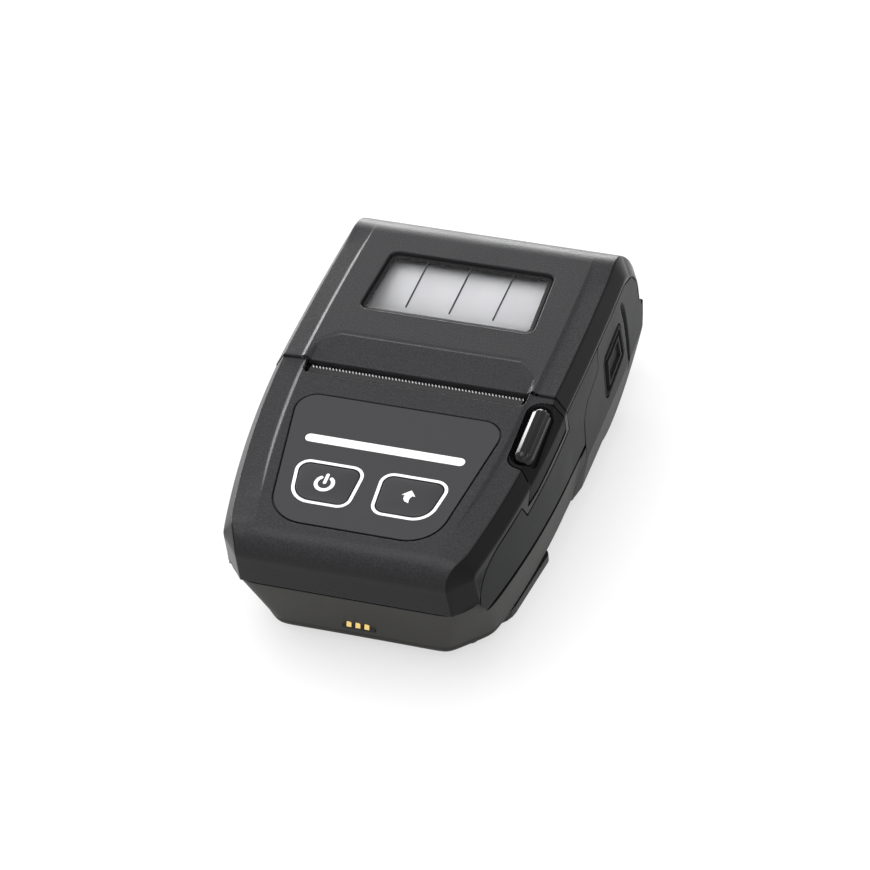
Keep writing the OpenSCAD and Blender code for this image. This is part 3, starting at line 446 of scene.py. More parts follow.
def cut(grid, outline, drop_inside=True):
    """Drops the cells inside an outline (or outside it), by the sum of their corners' signed distances, and
    slides the corners beside them onto the outline, along the surface."""
    gap_to, near = outline_distance(outline, grid["X"], grid["S"])
    gap_to = gap_to if drop_inside else -gap_to
    kept = (gap_to[:-1, :-1] + gap_to[1:, :-1] + gap_to[:-1, 1:] + gap_to[1:, 1:]) > 0
    wide = np.pad(kept, 1, mode="edge")
    around = np.stack([wide[:-1, :-1], wide[1:, :-1], wide[:-1, 1:], wide[1:, 1:]])
    rim = around.any(0) & ~around.all(0)
    dx = np.gradient(grid["X"], axis=1)
    tangent_x = np.gradient(grid["P"], axis=1) / np.where(np.abs(dx) < 1e-9, 1e-9, dx)[..., None]
    ds = np.gradient(grid["S"], axis=0)
    drift = np.gradient(grid["X"], axis=0)[..., None] * tangent_x
    tangent_s = (np.gradient(grid["P"], axis=0) - drift) / np.where(np.abs(ds) < 1e-9, 1e-9, ds)[..., None]
    move = np.where(rim[..., None], near - np.stack([grid["X"], grid["S"]], -1), 0)
    grid["P"] = grid["P"] + move[..., :1] * tangent_x + move[..., 1:] * tangent_s
    grid["X"], grid["S"] = grid["X"] + move[..., 0], grid["S"] + move[..., 1]
    grid["keep"] &= kept
    return grid


square, middle = np.array([[0, 0], [2, 0], [2, 2], [0, 2]]), np.array([1.0])
print("from a 2 mm square's middle to its outline:", outline_distance(square, middle, middle)[0])

# %% Lips
INSIDE = np.array([0, 0, 20])


def turned(grid, side):
    """The grid with the named side as its last row; a second turn brings it back."""
    flips = {"end": lambda a: a, "start": lambda a: a[::-1], "right": lambda a: a.swapaxes(0, 1)}
    return {key: flips[side](value) for key, value in grid.items()}


def lipped(grid, side, depth, radius):
    """Rolls one side of a grid inwards: a quarter turn of the radius, then straight in by the depth. Both
    fade where the side's points lie under 0.45 mm apart, and where the surface is edge on to the middle."""
    work = turned(grid, side)
    points, last, before = work["P"], work["P"][-1], work["P"][-2]
    out, step, from_inside = unit(last - before), np.gradient(last, axis=0), last - INSIDE
    normal = unit(np.cross(out, step))
    normal = normal * np.sign((normal * from_inside).sum())
    fade = np.clip(np.linalg.norm(step, axis=-1, keepdims=True) / 0.45, 0, 1) ** 2
    fade = fade * np.clip(3 * (normal * unit(from_inside)).sum(-1, keepdims=True), 0, 1)
    radius, depth = radius * fade, depth * fade
    base = last - out * radius
    turns = np.radians([30, 60, 90])
    rows = [base + radius * (out * math.sin(a) - normal * (1 - math.cos(a))) for a in turns]
    rows.append(rows[-1] - normal * depth)
    work["P"] = np.concatenate([points[:-1], base[None], np.stack(rows)])
    for key in ("X", "S", "polish", "keep"):
        work[key] = np.concatenate([work[key]] + [work[key][-1:]] * len(rows))
    return turned(work, side)


print("lips roll towards", INSIDE, "mm")

# %% From patches to a mesh
HARD_ANGLE, MERGE_WITHIN = math.radians(28), 0.002 * MM


def cell_corners(values):
    """The values at the four corners of every cell of a grid, in order round the cell."""
    return np.stack([values[:-1, :-1], values[:-1, 1:], values[1:, 1:], values[1:, :-1]], -1)


def shell_object(name, grids, body, replaced=(), materials=("shell",)):
    """Joins grids into one mesh in metres. Cells with a mean polish over a half take the second material.
    Doubles are merged, normals are turned outwards, and edges sharper than 28 degrees stay sharp."""
    verts, faces, shiny, levels, base = [], [], [], [], 0
    for grid in grids:
        rows, columns = grid["P"].shape[:2]
        number = np.arange(rows * columns).reshape(rows, columns) + base
        verts.append(grid["P"].reshape(-1, 3))
        levels.append(grid["polish"].reshape(-1))
        faces.append(cell_corners(number)[grid["keep"]])
        shiny.append(cell_corners(grid["polish"])[grid["keep"]].sum(-1) / 4 > 0.5)
        base += rows * columns
    verts, faces, shiny = np.concatenate(verts), np.concatenate(faces), np.concatenate(shiny)
    used, faces = np.unique(faces, return_inverse=True)
    mesh = bpy.data.meshes.new(name)
    mesh.from_pydata((verts[used] * MM).tolist(), [], faces.reshape(-1, 4).tolist())
    level = np.concatenate(levels)[used].astype(np.float32)
    mesh.attributes.new("polish", "FLOAT", "POINT").data.foreach_set("value", level)
    number = np.where(shiny, min(1, len(materials) - 1), 0).astype(np.int32)
    mesh.polygons.foreach_set("material_index", number)
    work = bmesh.new()
    work.from_mesh(mesh)
    bmesh.ops.remove_doubles(work, verts=work.verts, dist=MERGE_WITHIN)
    bmesh.ops.recalc_face_normals(work, faces=work.faces)
    work.to_mesh(mesh)
    work.free()
    for label in materials:
        mesh.materials.append(finish[label])
    mesh.shade_smooth()
    mesh.set_sharp_from_angle(angle=HARD_ANGLE)
    made = bpy.data.objects.new(name, mesh)
    scene.collection.objects.link(made)
    if replaced:
        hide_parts(*replaced)
    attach(made, body)
    low, high = verts[used].min(0), verts[used].max(0)
    print(name, len(mesh.polygons), "faces", low.round(1), high.round(1))


print("edges stay sharp from", round(math.degrees(HARD_ANGLE)), "degrees")

# %% Outlines, places and bands
def rounded(corners, radii, count=6):
    """A closed outline whose corners are arcs, each tangent to its two sides."""
    corners, arcs = np.asarray(corners, float), []
    for k, radius in enumerate(radii):
        here, back, on = corners[k], corners[k - 1], corners[(k + 1) % len(corners)]
        u, v = unit(back - here), unit(on - here)
        half = math.acos(float(np.clip(u @ v, -1, 1))) / 2
        centre = here + unit(u + v) * radius / math.sin(half)
        a, b = here + u * radius / math.tan(half) - centre, here + v * radius / math.tan(half) - centre
        first = math.atan2(a[1], a[0])
        sweep = (math.atan2(b[1], b[0]) - first + math.pi) % (2 * math.pi) - math.pi
        arcs.append(arc_points(centre, radius, math.degrees(first), math.degrees(first + sweep), count + 1))
    return np.concatenate(arcs)


def offset(outline, distance):
    """A closed outline moved inwards: each corner slides along the mean normal of its two sides."""
    way = unit(np.roll(outline, -1, 0) - outline)
    area = (outline[:, 0] * np.roll(outline[:, 1], -1) - np.roll(outline[:, 0], -1) * outline[:, 1]).sum()
    inward = np.sign(area) * np.stack([-way[:, 1], way[:, 0]], -1)
    pair = inward + np.roll(inward, 1, 0)
    return outline + distance * pair / np.maximum((pair * inward).sum(-1, keepdims=True), 0.3)


def panel_side(s, w):
    """Y and Z of a point on the leaning control panel: s along it from the shut line, w above it."""
    run, rise = math.cos(TILT), math.sin(TILT)
    return SPLIT_Y + s * run - w * rise, PANEL_Z + s * rise + w * run


def on_panel(x, s, w):
    """A place on the control panel."""
    return np.stack([x, *panel_side(s, w)], -1)


def on_lid(x, s, w):
    """A place on the lid's flat top: s is the place along Y, w the height above it."""
    return np.stack([x, s, TOP_Z + w], -1)


def through_rings(rings, heights, place):
    """A patch whose rows are closed rings, each set at its height by a place function."""
    closed = [np.concatenate([ring, ring[:1]]) for ring in rings]
    rows = [place(*ring.T, np.full(len(ring), float(height))) for ring, height in zip(closed, heights)]
    return patch(np.stack(rows))


def band(outline, insets, heights, place):
    """A closed band: the outline is moved inwards by each inset and set at each height."""
    return through_rings([offset(outline, d) for d in insets], heights, place)


def rimmed(halves, outline, insets, heights, place):
    """Cuts a hole in every half at the first inset, and returns the band that rolls its rim in."""
    for half in halves:
        cut(half, offset(outline, insets[0]))
    return band(outline, insets, heights, place)


print("a panel point 10 mm ahead of the shut line lies at y, z:", np.round(panel_side(-10, 0), 2))

# %% [markdown]
# Lid and front cover share one cross-section: a flat top, a narrow bevel, a border strip, a steep polished
# band and a short wall down to the seam. It is carried back over the crown and down the bulge for the lid,
# and forward round the nose for the front cover. The band shrinks towards the hinge and grows at the nose.

# %% Cross-section carried along a side view
def corner_rows(zero, *corners):
    """Corners (d, e) of the section at every station; each value is one number, or one for each station."""
    return np.stack([np.stack([d + zero, e + zero], -1) for d, e in corners], 1)


def half_section(path, crease, bevel, bevel_drop, band_w, strip_drop, total, wall, fills):
    """(distance in, depth under the path) of the right half, from the middle line to the wall's end."""
    wide = half_width(*path.T)
    share = np.linspace(0, 1, 47)[:-1]
    flat_end = crease + 0.5
    top = wide[:, None] - share * (wide - flat_end)[:, None]
    corners = corner_rows(0 * wide, (flat_end, 0), (crease, 0), (crease - bevel, bevel_drop),
                          (band_w, strip_drop), (0, total), (0, wall))
    edge = softened(corners, [0.2, 0.25, 0.35, 0.5], fills)
    return np.concatenate([np.stack([top, 0 * top], -1), edge], 1)


def carried(path, normal, profile, along, total):
    """The section at each station: y and z lie a depth e under the path along its normal, x is the half
    width less d. The cloth coordinate X runs on down the wall, past the band."""
    d, e = profile[..., 0], profile[..., 1]
    y = path[:, :1] - e * normal[:, :1]
    z = path[:, 1:] - e * normal[:, 1:]
    points = np.stack([half_width(y, z) - d, y, z], -1)
    across = half_width(*path.T)[:, None] - d + np.clip(e - total[:, None], 0, None)
    return patch(points, across, along[:, None])


def mirrored(grid):
    """The same grid on the left side."""
    twin = {key: value.copy() for key, value in grid.items()}
    twin["P"][..., 0] *= -1
    twin["X"] *= -1
    return twin


def sided(grid, side):
    """A grid of the right side for side 1, and its mirror image for side -1."""
    return grid if side > 0 else mirrored(grid)


def seam_depth(path, normal, seam):
    """How deep under each station the seam's polyline lies, along the normal."""
    a, b = seam[:-1], seam[1:]
    way = (b - a)[None]
    off = a[None] - path[:, None]
    back = -normal[:, None]
    cross = back[..., 0] * way[..., 1] - back[..., 1] * way[..., 0]
    cross = np.where(np.abs(cross) < 1e-9, 1e-9, cross)
    e = (off[..., 0] * way[..., 1] - off[..., 1] * way[..., 0]) / cross
    t = (off[..., 0] * back[..., 1] - off[..., 1] * back[..., 0]) / cross
    return np.where((t >= -0.01) & (t <= 1.01) & (e > 0), e, np.inf).min(1)


BEND_FROM, BEND_TO_Z = -44.5, 23.5


def front_bend(y, w):
    """The seam's round turn down behind the nose: a parabola whose corner is where the upper seam, w above
    the panel, would meet the upright line at y."""
    corner_s = (y - SPLIT_Y + w * math.sin(TILT)) / math.cos(TILT)
    ends = [np.array(point) for point in (panel_side(BEND_FROM, w), panel_side(corner_s, w), (y, BEND_TO_Z))]
    return parabola(*ends, np.linspace(0, 1, 17)[:, None]).tolist()


print("half-way round the nose's bend:", np.round(front_bend(-58.75, -6.3)[8], 1))

# %% [markdown]
# The lid's cover runs level from the slot, over the crown and down the bulge to the hinge. A subdivided box
# could give that shape, but not the lip, whose crease stops short of the sides. So the section is carried
# along the side view, and the lip is pressed into the finished grid by a formula.

# %% Lid cover
lid_way = np.concatenate([[[SPLIT_Y, TOP_Z]], arc_points(CROWN, CROWN_R, 90, 48.9),
                          arc_points(ROLL, BULGE_R, 48.9, 0.4)])
lid_path, lid_run = resample(lid_way, 0.5)
lid_out = side_normals(lid_path, 1)
lid_seam = np.array([[-10, 41.0], [49, 41], [56.5, 38], [60.5, 32.5], [61.3, 26.5], [61.7, 20]])
lid_wall = seam_depth(lid_path, lid_out, lid_seam)
lid_wall[~np.isfinite(lid_wall)] = 3.7  # where the normal misses the seam
lid_wall = np.convolve(np.pad(lid_wall, 6, mode="edge"), np.ones(13) / 13, "valid")  # a running mean
band_deep, lid_band = 5.0, 2.6
lid_total = np.minimum(band_deep, lid_wall - 0.6)
shrink = lid_total / band_deep
fading = 1 - blend(38, 56, lid_run)
lid_section = half_section(lid_path, 8.4, 0.15 + 0.75 * fading, 0.55 * fading, lid_band * shrink,
                           0.8 * (1 - blend(44, 58, lid_run)), lid_total, lid_wall, [1, 1, 9, 9, 3])
lip_y, lip_slope = 7.1, math.tan(math.radians(6.9))
lip_outline = np.array([[-24.5, lip_y], [-30.0, 1.8], [-30.4, -6], [30.4, -6], [30.0, 1.8], [24.5, lip_y]])


def lid_side():
    """The right half of the lid. Inside the lip's outline the top slopes down to the slot. Its crease is a
    ridge beside a hollow, each 0.1 mm high and shaped as exp(-(distance / width)^2)."""
    grid = carried(lid_path, lid_out, lid_section, SPLIT_Y + lid_run, lid_total)
    inside = -outline_distance(lip_outline, grid["X"], grid["S"])[0]
    ridge = 0.1 * (np.exp(-((inside - 0.3) / 0.35) ** 2) - np.exp(-((inside + 0.5) / 0.4) ** 2))
    sunk = np.clip(lip_y - grid["S"], 0, None) * lip_slope * blend(0, 0.7, inside)
    grid["P"][..., 2] -= sunk - ridge * blend(31.5, 29, grid["X"])
    grid["polish"] = blend(3.0, 2.5, lid_section[..., 0] / shrink[:, None])
    return grid


window_outline = rounded([[-23.9, 18.3], [23.9, 18.3], [22.6, 42.3], [-22.6, 42.3]], [2.6] * 4, 8)
lid_halves = [lid_side(), mirrored(lid_side())]
window_rim = rimmed(lid_halves, window_outline, [-0.35, -0.22, -0.08, 0, 0, 0.8, 1.0],
                    [0, -0.02, -0.12, -0.3, -1.5, -1.5, -2.2], on_lid)
for side, depth, radius in (("start", 2.2, 0.3), ("right", 1.2, 0.15), ("end", 1.6, 0.4)):
    lid_halves = [lipped(half, side, depth, radius) for half in lid_halves]
shell_object("lid_shell", [*lid_halves, window_rim], "lid", ["lid_cover"], ("shell", "band"))

# %% [markdown]
# The front cover runs the same way to the nose. Bevels could not make its corner: there the polished band
# opens into a large facet. On the nose's arc all the section's normals meet at the arc's middle, so a
# carried section opens like a fan by itself.

# %% Front cover
shut_gap, nose_end = 0.35, [-64.42, 24.75]
front_way = np.concatenate([[[SPLIT_Y - shut_gap, PANEL_Z - shut_gap * math.tan(TILT)]],
                            arc_points(NOSE, NOSE_R, 95.4, 188.8), [nose_end]])
front_path, front_run = resample(front_way, 0.5)
front_out = side_normals(front_path, -1)
front_along = -shut_gap - front_run
around = blend(54, 64, front_run)  # 0 on the panel, 1 round the nose
seam_under, seam_y = 6.3, -58.75
front_seam = np.array([panel_side(3, -seam_under)] + front_bend(seam_y, -seam_under) + [[seam_y, 15]])
front_wall = np.where(front_run < 20, seam_under, seam_depth(front_path, front_out, front_seam))
front_total = np.minimum(band_deep + 0.9 * around, front_wall - 0.15)
front_band = 2.5 + 1.5 * around
taper = 1 - np.clip((front_run - 8) / 40, 0, 1) ** 4
drop = 0.65 * taper
strip = np.maximum(1 - around, drop + 0.05)
deeper = 4.9 * np.clip((front_along + 32.6) / 2.05, 0, 1)  # the wall reaches further down beside the lever


def front_side(wall, wall_fill):
    """Half of the front cover with its wall down to these depths. Its polish starts at the band; the lower
    nose gets painted shade, which darkens it lower down and further forward."""
    profile = half_section(front_path, 9.4, 0.15 + 0.95 * taper, drop, front_band, strip, front_total, wall,
                           [1, 2, 9, 9, wall_fill])
    grid = carried(front_path, front_out, profile, front_along, front_total)
    shine = blend(0.5, -0.1, profile[..., 0] - front_band[:, None])
    # painted shade: the lower nose fades to the darker colour, more so lower down and further forward
    painted_nose_shade = 0.5 * blend(41.0, 31.5, grid["P"][..., 2]) * blend(-56, -60, grid["P"][..., 1])
    grid["polish"] = np.maximum(shine, painted_nose_shade)
    return grid


overlay_outline = rounded([[-21.7, -54.8], [21.7, -54.8], [28.4, -11.9], [-28.4, -11.9]],
                          [10, 10, 5.5, 5.5], 12)
slot_outline = rounded([[-30, -5.2], [30, -5.2], [30, 4], [-30, 4]], [1.9, 1.9, 0.5, 0.5], 6)
lever_outline = rounded([[30.9, -24.4], [35.6, -25.4], [42.2, -30.0], [43.6, -23.4], [44.6, -2.2],
                         [30.9, -2.2]], [3.2, 3, 0.5, 0.5, 0.5, 4.2], 8)
front_halves = [mirrored(front_side(front_wall, 3)), front_side(front_wall + deeper, 12)]
overlay_rim = rimmed(front_halves, overlay_outline, [-0.45, -0.3, -0.16, -0.1, -0.1, 0.9],
                     [0, -0.03, -0.16, -0.3, -0.8, -0.8], on_panel)
slot_rim = rimmed(front_halves, slot_outline, [-0.2, -0.1, 0, 0], [0, -0.05, -0.25, -7], on_panel)
slot_rim["keep"] &= (slot_rim["P"][:-1, :-1, 1] < -3.3)  # its rear side belongs to the lid
cut(front_halves[1], lever_outline)
for side, depth, radius in (("start", 2.2, 0.25), ("end", 1.2, 0.2)):
    front_halves = [lipped(half, side, depth, radius) for half in front_halves]
front_grids = [*front_halves, overlay_rim, slot_rim]
shell_object("front_shell", front_grids, "case", ["front_cover"], ("shell", "band"))

# %% [markdown]
# The printer's low half is a tray whose walls lean in towards the table. Cutting boxes at angles would
# leave sharp vertical edges to bevel. Here its plan is found by rays from a point inside: each ray stops at
# the nearest of the side, the front face and the cut corner, and a soft minimum rolls the edges between
# them.

# %% The lower case's walls
RAY_Y = -20.0
FACE_Y, FACE_LEAN = -64.42, math.radians(20)
CORNER_SUM, CORNER_LEAN = 72.28, math.radians(23.7)  # on the cut corner |x| - (y + 20) is 72.28
KNEE_Z, FOOT_Z, FLOOR_Z = 24.6, 6.0, 3.0
POWER = 60


def low_reach(angle, z):
    """Distance from (0, -20) to the low wall along each ray: a soft minimum, the -60th power mean, of the
    hits on the side, the front face and the cut corner. Below 24.6 mm these two lean in, by 20 and 23.7
    degrees."""
    ux, uy = np.abs(np.cos(angle)), np.sin(angle)
    down = np.clip(KNEE_Z - z, 0, None)
    side = np.full(np.broadcast(angle, z).shape, 40.0)
    for _ in range(8):
        side = half_width(np.clip(RAY_Y + side * uy, -80, 60), z) / np.maximum(ux, 0.05)
    face = (RAY_Y - FACE_Y - down * math.tan(FACE_LEAN)) / np.maximum(-uy, 0.05)
    corner = (CORNER_SUM - down * math.tan(CORNER_LEAN) * math.sqrt(2)) / np.maximum(ux - uy, 0.05)
    hits = np.stack([side, face, corner])
    best = hits.min(0)
    return best * (((best / hits) ** POWER).sum(0)) ** (-1 / POWER)


ray_angle = np.radians(np.linspace(38, -218, 560))[None, :]
level = np.linspace(1, 0, 38)[:, None]
edge_y = RAY_Y + low_reach(ray_angle, np.full((1, 1), 24.4)) * np.sin(ray_angle)
seam_top = 24.42 + 0.155 * np.clip(edge_y + 64.3, 0, 6) - 6.2 * blend(-56.5, -55.3, edge_y)
wall_z = FOOT_Z + (seam_top - FOOT_Z) * level
roll_by = np.radians(np.linspace(0, 90, 9))[1:, None]
foot_r = low_reach(ray_angle, np.full((1, 1), FOOT_Z)) - FLOOR_Z * (1 - np.cos(roll_by))
all_r = np.concatenate([low_reach(ray_angle, wall_z), foot_r])
all_z = np.concatenate([wall_z, FOOT_Z - FLOOR_Z * np.sin(roll_by) + 0 * foot_r])
low_points = np.stack([all_r * np.cos(ray_angle), RAY_Y + all_r * np.sin(ray_angle), all_z], -1)
tray = patch(low_points, low_points[..., 1], all_z)
column_mid = tray["P"].shape[1] // 2
left_tray = {key: value[:, column_mid:] for key, value in tray.items()}
right_tray = {key: value[:, :column_mid + (key != "keep")] for key, value in tray.items()}
print("tray of", all_z.shape, "points, up to z", all_z.max().round(2))


# %% The lower case
def on_front_face(x, z, w):
    """A place on the front face, which leans back by 20 degrees towards the table."""
    back = (KNEE_Z - z) * math.tan(FACE_LEAN) - w * math.cos(FACE_LEAN)
    return np.stack([x, FACE_Y + back, z - w * math.sin(FACE_LEAN)], -1)


def flat_place(z):
    """A place function for bands that lie level at a height."""
    return lambda x, s, w: np.stack([x, s, z + w], -1)


def circle(x, y, radius, count=40):
    """A closed ring of points in plan."""
    return arc_points(np.array([x, y]), radius, 0, 360, count + 1)[:-1]


rear_edge = np.array([[4.8, -5], [4.8, 7], [8.5, 14.9], [9.2, 28.5], [60, 28.5], [60, -5]])
pad_half, pad_low, pad_high = 0.85, 10.2, 11.9
pad_outlines = [rounded([[x - pad_half, pad_low], [x + pad_half, pad_low], [x + pad_half, pad_high],
                         [x - pad_half, pad_high]], [0.5] * 4, 3) for x in (-2.4, 0, 2.4)]
low_grids = [band(outline, [0, 0], [0, -0.8], on_front_face) for outline in pad_outlines]
for half in (left_tray, right_tray):
    cut(half, rear_edge)
    half["X"] = half["P"][..., 0].copy()
    for outline in pad_outlines:
        cut(half, outline)
    # the top row and its rolled lip take the dark band finish: painted shade inside the seam above the tray
    half["polish"][0] = 1
    low_grids.append(lipped(half, "start", 1.2, 0.2))

plate_x, plate_y = np.meshgrid(np.linspace(-36, 36, 121), np.linspace(-57, 4.7, 104))
base_plate = patch(np.stack([plate_x, plate_y, FLOOR_Z + 0 * plate_x], -1), plate_x, plate_y)
cut(base_plate, low_points[-1, ::4, :2], drop_inside=False)
bay_outline = rounded([[-31.55, -42.6], [31.55, -42.6], [31.55, -13.8], [-31.55, -13.8]], [0.8] * 4, 3)
bay_walls = rimmed([base_plate], bay_outline, [0, 0], [0, 14], flat_place(FLOOR_Z))
low_grids.append(base_plate)
screw_r, screw_deep, insert_r, insert_deep = 2, 1.6, 3, 3
holes = [(x * side, y, screw_r, screw_deep) for x, y in ((26, -49.5), (31, -10.2)) for side in (1, -1)]
for x, y, radius, depth in holes + [(0, -2, insert_r, insert_deep)]:
    low_grids.append(rimmed([base_plate], circle(x, y, radius), [-0.2, -0.05, 0, 0], [0, 0.05, 0.2, depth],
                            flat_place(FLOOR_Z)))
low_grids.append(bay_walls)
shell_object("lower_shell", low_grids, "case", ["lower_case"], ("shell_low", "band"))

# %% [markdown]
# Behind, the case wraps the paper roll: a floor and a bulge in one sweep, and two upright walls. A boolean
# cut would leave ragged triangles along the grooves. The walls are plain grids in side view instead,
# trimmed to the seams, with the dark finger grooves pressed into them and a recess for the rubber flap on
# the right.

# %% Tools for the upright walls
def line_distance(points, y, z):
    """Distance from each (y, z) to a polyline, and how far along it the nearest point is, from 0 to 1."""
    a, b = np.asarray(points[:-1], float), np.asarray(points[1:], float)
    way, spot = b - a, np.stack([y, z], -1)[..., None, :]
    t = np.clip(((spot - a) * way).sum(-1) / (way ** 2).sum(-1), 0, 1)
    far = np.linalg.norm(spot - a - t[..., None] * way, axis=-1)
    length = np.linalg.norm(way, axis=-1)
    run = (np.cumsum(length) - length + t * length) / length.sum()
    pick = far.argmin(-1)[..., None]
    return np.take_along_axis(far, pick, -1)[..., 0], np.take_along_axis(run, pick, -1)[..., 0]


def smooth_line(points, count=40):
    """A curve through points: Catmull-Rom, the cubic whose slope at each point joins its neighbours."""
    p = np.asarray(points, float)
    p = np.concatenate([[2 * p[0] - p[1]], p, [2 * p[-1] - p[-2]]])
    t = np.linspace(0, 1, count // (len(p) - 3) + 1)[None, :-1, None]
    a, b, c, d = (p[k:len(p) - 3 + k, None] for k in range(4))
    square, cube = (2 * a - 5 * b + 4 * c - d) * t ** 2, (3 * b - a - 3 * c + d) * t ** 3
    curve = 0.5 * (2 * b + (c - a) * t + square + cube)
    return np.concatenate([curve.reshape(-1, 2), p[-2:-1]])


def side_wall(y0, y1, z0, z1, step=0.4):
    """An upright wall as a grid in side view: x is the half width, Y and Z are its cloth coordinates."""
    y, z = np.meshgrid(np.arange(y0, y1 + step, step), np.arange(z0, z1 + step, step))
    return patch(np.stack([half_width(y, z), y, z], -1), y, z)


def press_groove(grid, points, half, depth):
    """Presses a rounded groove along a curve: depth * exp(-(distance / half width)^4), with thin ends."""
    far, run = line_distance(smooth_line(points), grid["X"], grid["S"])
    pointed = np.sqrt(np.clip(blend(-0.02, 0.12, run) * blend(1.0, 0.8, run), 0.02, 1))
    width = half * (0.45 + 0.55 * blend(1.0, 0.55, run)) * pointed
    grid["P"][..., 0] -= depth * np.exp(-(far / width) ** 4)


def on_side(y, z, w):
    """A place on the upright right side: the outline is in Y and Z, and w is the height above the side."""
    return np.stack([half_width(y, z) + w, y, z], -1)


print("half width at the widest place:", half_width(np.array(WIDEST_Y), np.array(30.0)), "mm")

# %% Rear case
rear_way = np.concatenate([[[4.98, 3.0]], arc_points(ROLL, BULGE_R, -118.36, -6.0, 60)])
rear_path, rear_run = resample(rear_way, 0.7)
rear_wide = half_width(*rear_path.T)
share = np.linspace(0, 1, 40)[:-1]
edge_in, edge_deep = 3, 1.6
rear_middle = rear_wide[:, None] - share * (rear_wide - edge_in)[:, None]
rear_corner = softened(corner_rows(0 * rear_wide, (edge_in, 0), (0, 0), (0, edge_deep)), [1.4], [1, 1])
rear_section = np.concatenate([np.stack([rear_middle, 0 * rear_middle], -1), rear_corner], 1)
no_band = 0 * rear_wide + 10  # deeper than the section, so that X stays the distance across
bulge = carried(rear_path, side_normals(rear_path, -1), rear_section, rear_run, no_band)
slot_behind = np.array([[-27.3, 69.1], [27.3, 69.1], [27.3, 90], [-27.3, 90]])  # room for the lid's hinge
wall_outline = np.concatenate([
    [[4.98, 4.6], [4.98, 7], [8.68, 14.9], [9.38, 28.4], [13.1, 31.75], [22.55, 33.85], [23.65, 40.65],
     [48.9, 40.65], [56.25, 37.7], [60.2, 32.4], [60.95, 26.5], [61.3, 24.9], [62.9, 24.9], [63.0, 22.4]],
    arc_points(ROLL, BULGE_R - 1.6, -6.4, -118.36, 50)])
flap_outline = rounded([[27, 19], [45.1, 20.6], [42.6, 34], [27, 33.2]], [2.6, 2.2, 2.6, 2.2], 6)
groove_line = [[44.8, 37.6], [47.0, 32.0], [48.2, 24.0], [48.6, 16.0], [48.9, 10.5]]
rear_grids = []
for side in (1, -1):
    half = {key: value.copy() for key, value in bulge.items()}
    cut(half, slot_behind)
    wall_grid = side_wall(3.8, 66, 0.4, 41.4)
    press_groove(wall_grid, groove_line, 0.95, 1.1)
    cut(wall_grid, wall_outline, drop_inside=False)
    if side > 0:
        cut(wall_grid, offset(flap_outline, -0.3))
    rear_grids += [sided(half, side), sided(wall_grid, side)]
rear_grids.append(band(flap_outline, [-0.3, -0.2, -0.15, -0.15], [0, -0.05, -0.2, -1.4], on_side))
around_pin = np.radians(np.linspace(0, 360, 41))[None]
for side in (1, -1):
    knuckle_x = np.array([27.3, 27.3, 27.5, 31.1, 31.3, 31.3])[:, None] * side
    knuckle_r = np.array([0.9, 2.2, 2.4, 2.4, 2.2, 0.9])[:, None]
    rear_grids.append(patch(np.stack([knuckle_x + 0 * around_pin, HINGE[0] + knuckle_r * np.cos(around_pin),
                                      HINGE[1] + knuckle_r * np.sin(around_pin)], -1)))
shell_object("rear_shell", rear_grids, "case", ["rear_case"], ("shell_side", "band"))

# %% [markdown]
# A dark cover on each side fills the wedge between the front cover and the tray. It could be a thin box,
# but it has to follow the bent side exactly. So it is a grid in side view, trimmed to one outline: the
# right one drops round the lever, the left one runs straight on.

# %% Side covers
low_front, bend_y, bend_under = [[-55.9, 20.7], [-57.8, 23.3]], -58.3, 6.9
lever_drop = [panel_side(-32.8, -6.9), panel_side(-30.75, -11.8), panel_side(0.1, -11.8), [-2.8, 40.65]]
plain_seam = [panel_side(0.2, -6.9), [-2.0, 40.65]]
behind = [[23.2, 40.65], [22.25, 34.15], [12.85, 32.05], [9.0, 28.6], [8.35, 20.7]]
for side, name, top_seam in ((1, "right", lever_drop), (-1, "left", plain_seam)):
    outline = np.array(low_front + front_bend(bend_y, -bend_under)[::-1] + top_seam + behind)
    cover = cut(side_wall(-59.4, 24.2, 19.2, 42), outline, drop_inside=False)
    shell_object(name + "_side_shell", [sided(cover, side)], "case", [name + "_side_cover"], ("shell_side",))

# %% [markdown]
# Behind every seam of the sides stands an inner wall, 1.7 mm in, as in a real case where the covers'
# tongues overlap. Thicker covers would do the same, at the cost of many hidden faces. The wall keeps the
# seams dark.

# %% Inner walls
for side, name, top in ((1, "right", 38.5), (-1, "left", 43.4)):
    inner = side_wall(-62, 59, 18, 44, 1.0)
    inner["P"][..., 0] -= 1.7
    outline = np.array([[-56.3, 18.4], [57.5, 18.4], [57, 33], [50, 41.5], [38, 43.4], [4, 43.4], [-2.6, top],
                        [-54, 38], [-59.6, 36], [-59.9, 27], [-56.6, 22.5]])
    cut(inner, outline, drop_inside=False)
    shell_object("inner_wall_" + name, [sided(inner, side)], "case", (), ("black_plastic",))

# %% [markdown]
# The window's pane, the keys and the steel bar's foot are small solid pieces. Extruding a face by hand
# would do for one of them. A closed band makes them all: an outline is repeated at several insets and
# heights, and its first and last rings are drawn in to a point.

# %% Closed bands, strokes and the pane
def closed_band(outline, insets, heights, place, caps, centre=None):
    """Rings of an outline, with a disc on the first or last one where caps gives its middle's height."""
    rings, levels = [offset(outline, d) for d in insets], list(heights)
    middle = rings[-1].mean(0) if centre is None else np.asarray(centre, float)
    for end, cap in ((0, caps[0]), (-1, caps[1])):
        if cap is None:
            continue
        base, base_h = rings[end], levels[end]
        for t in (0.75, 0.5, 0.25, 0.0):
            at = 0 if end == 0 else len(rings)
            rings.insert(at, middle + (base - middle) * t)
            levels.insert(at, base_h + (cap - base_h) * (1 - t))
    return through_rings(rings, levels, place)


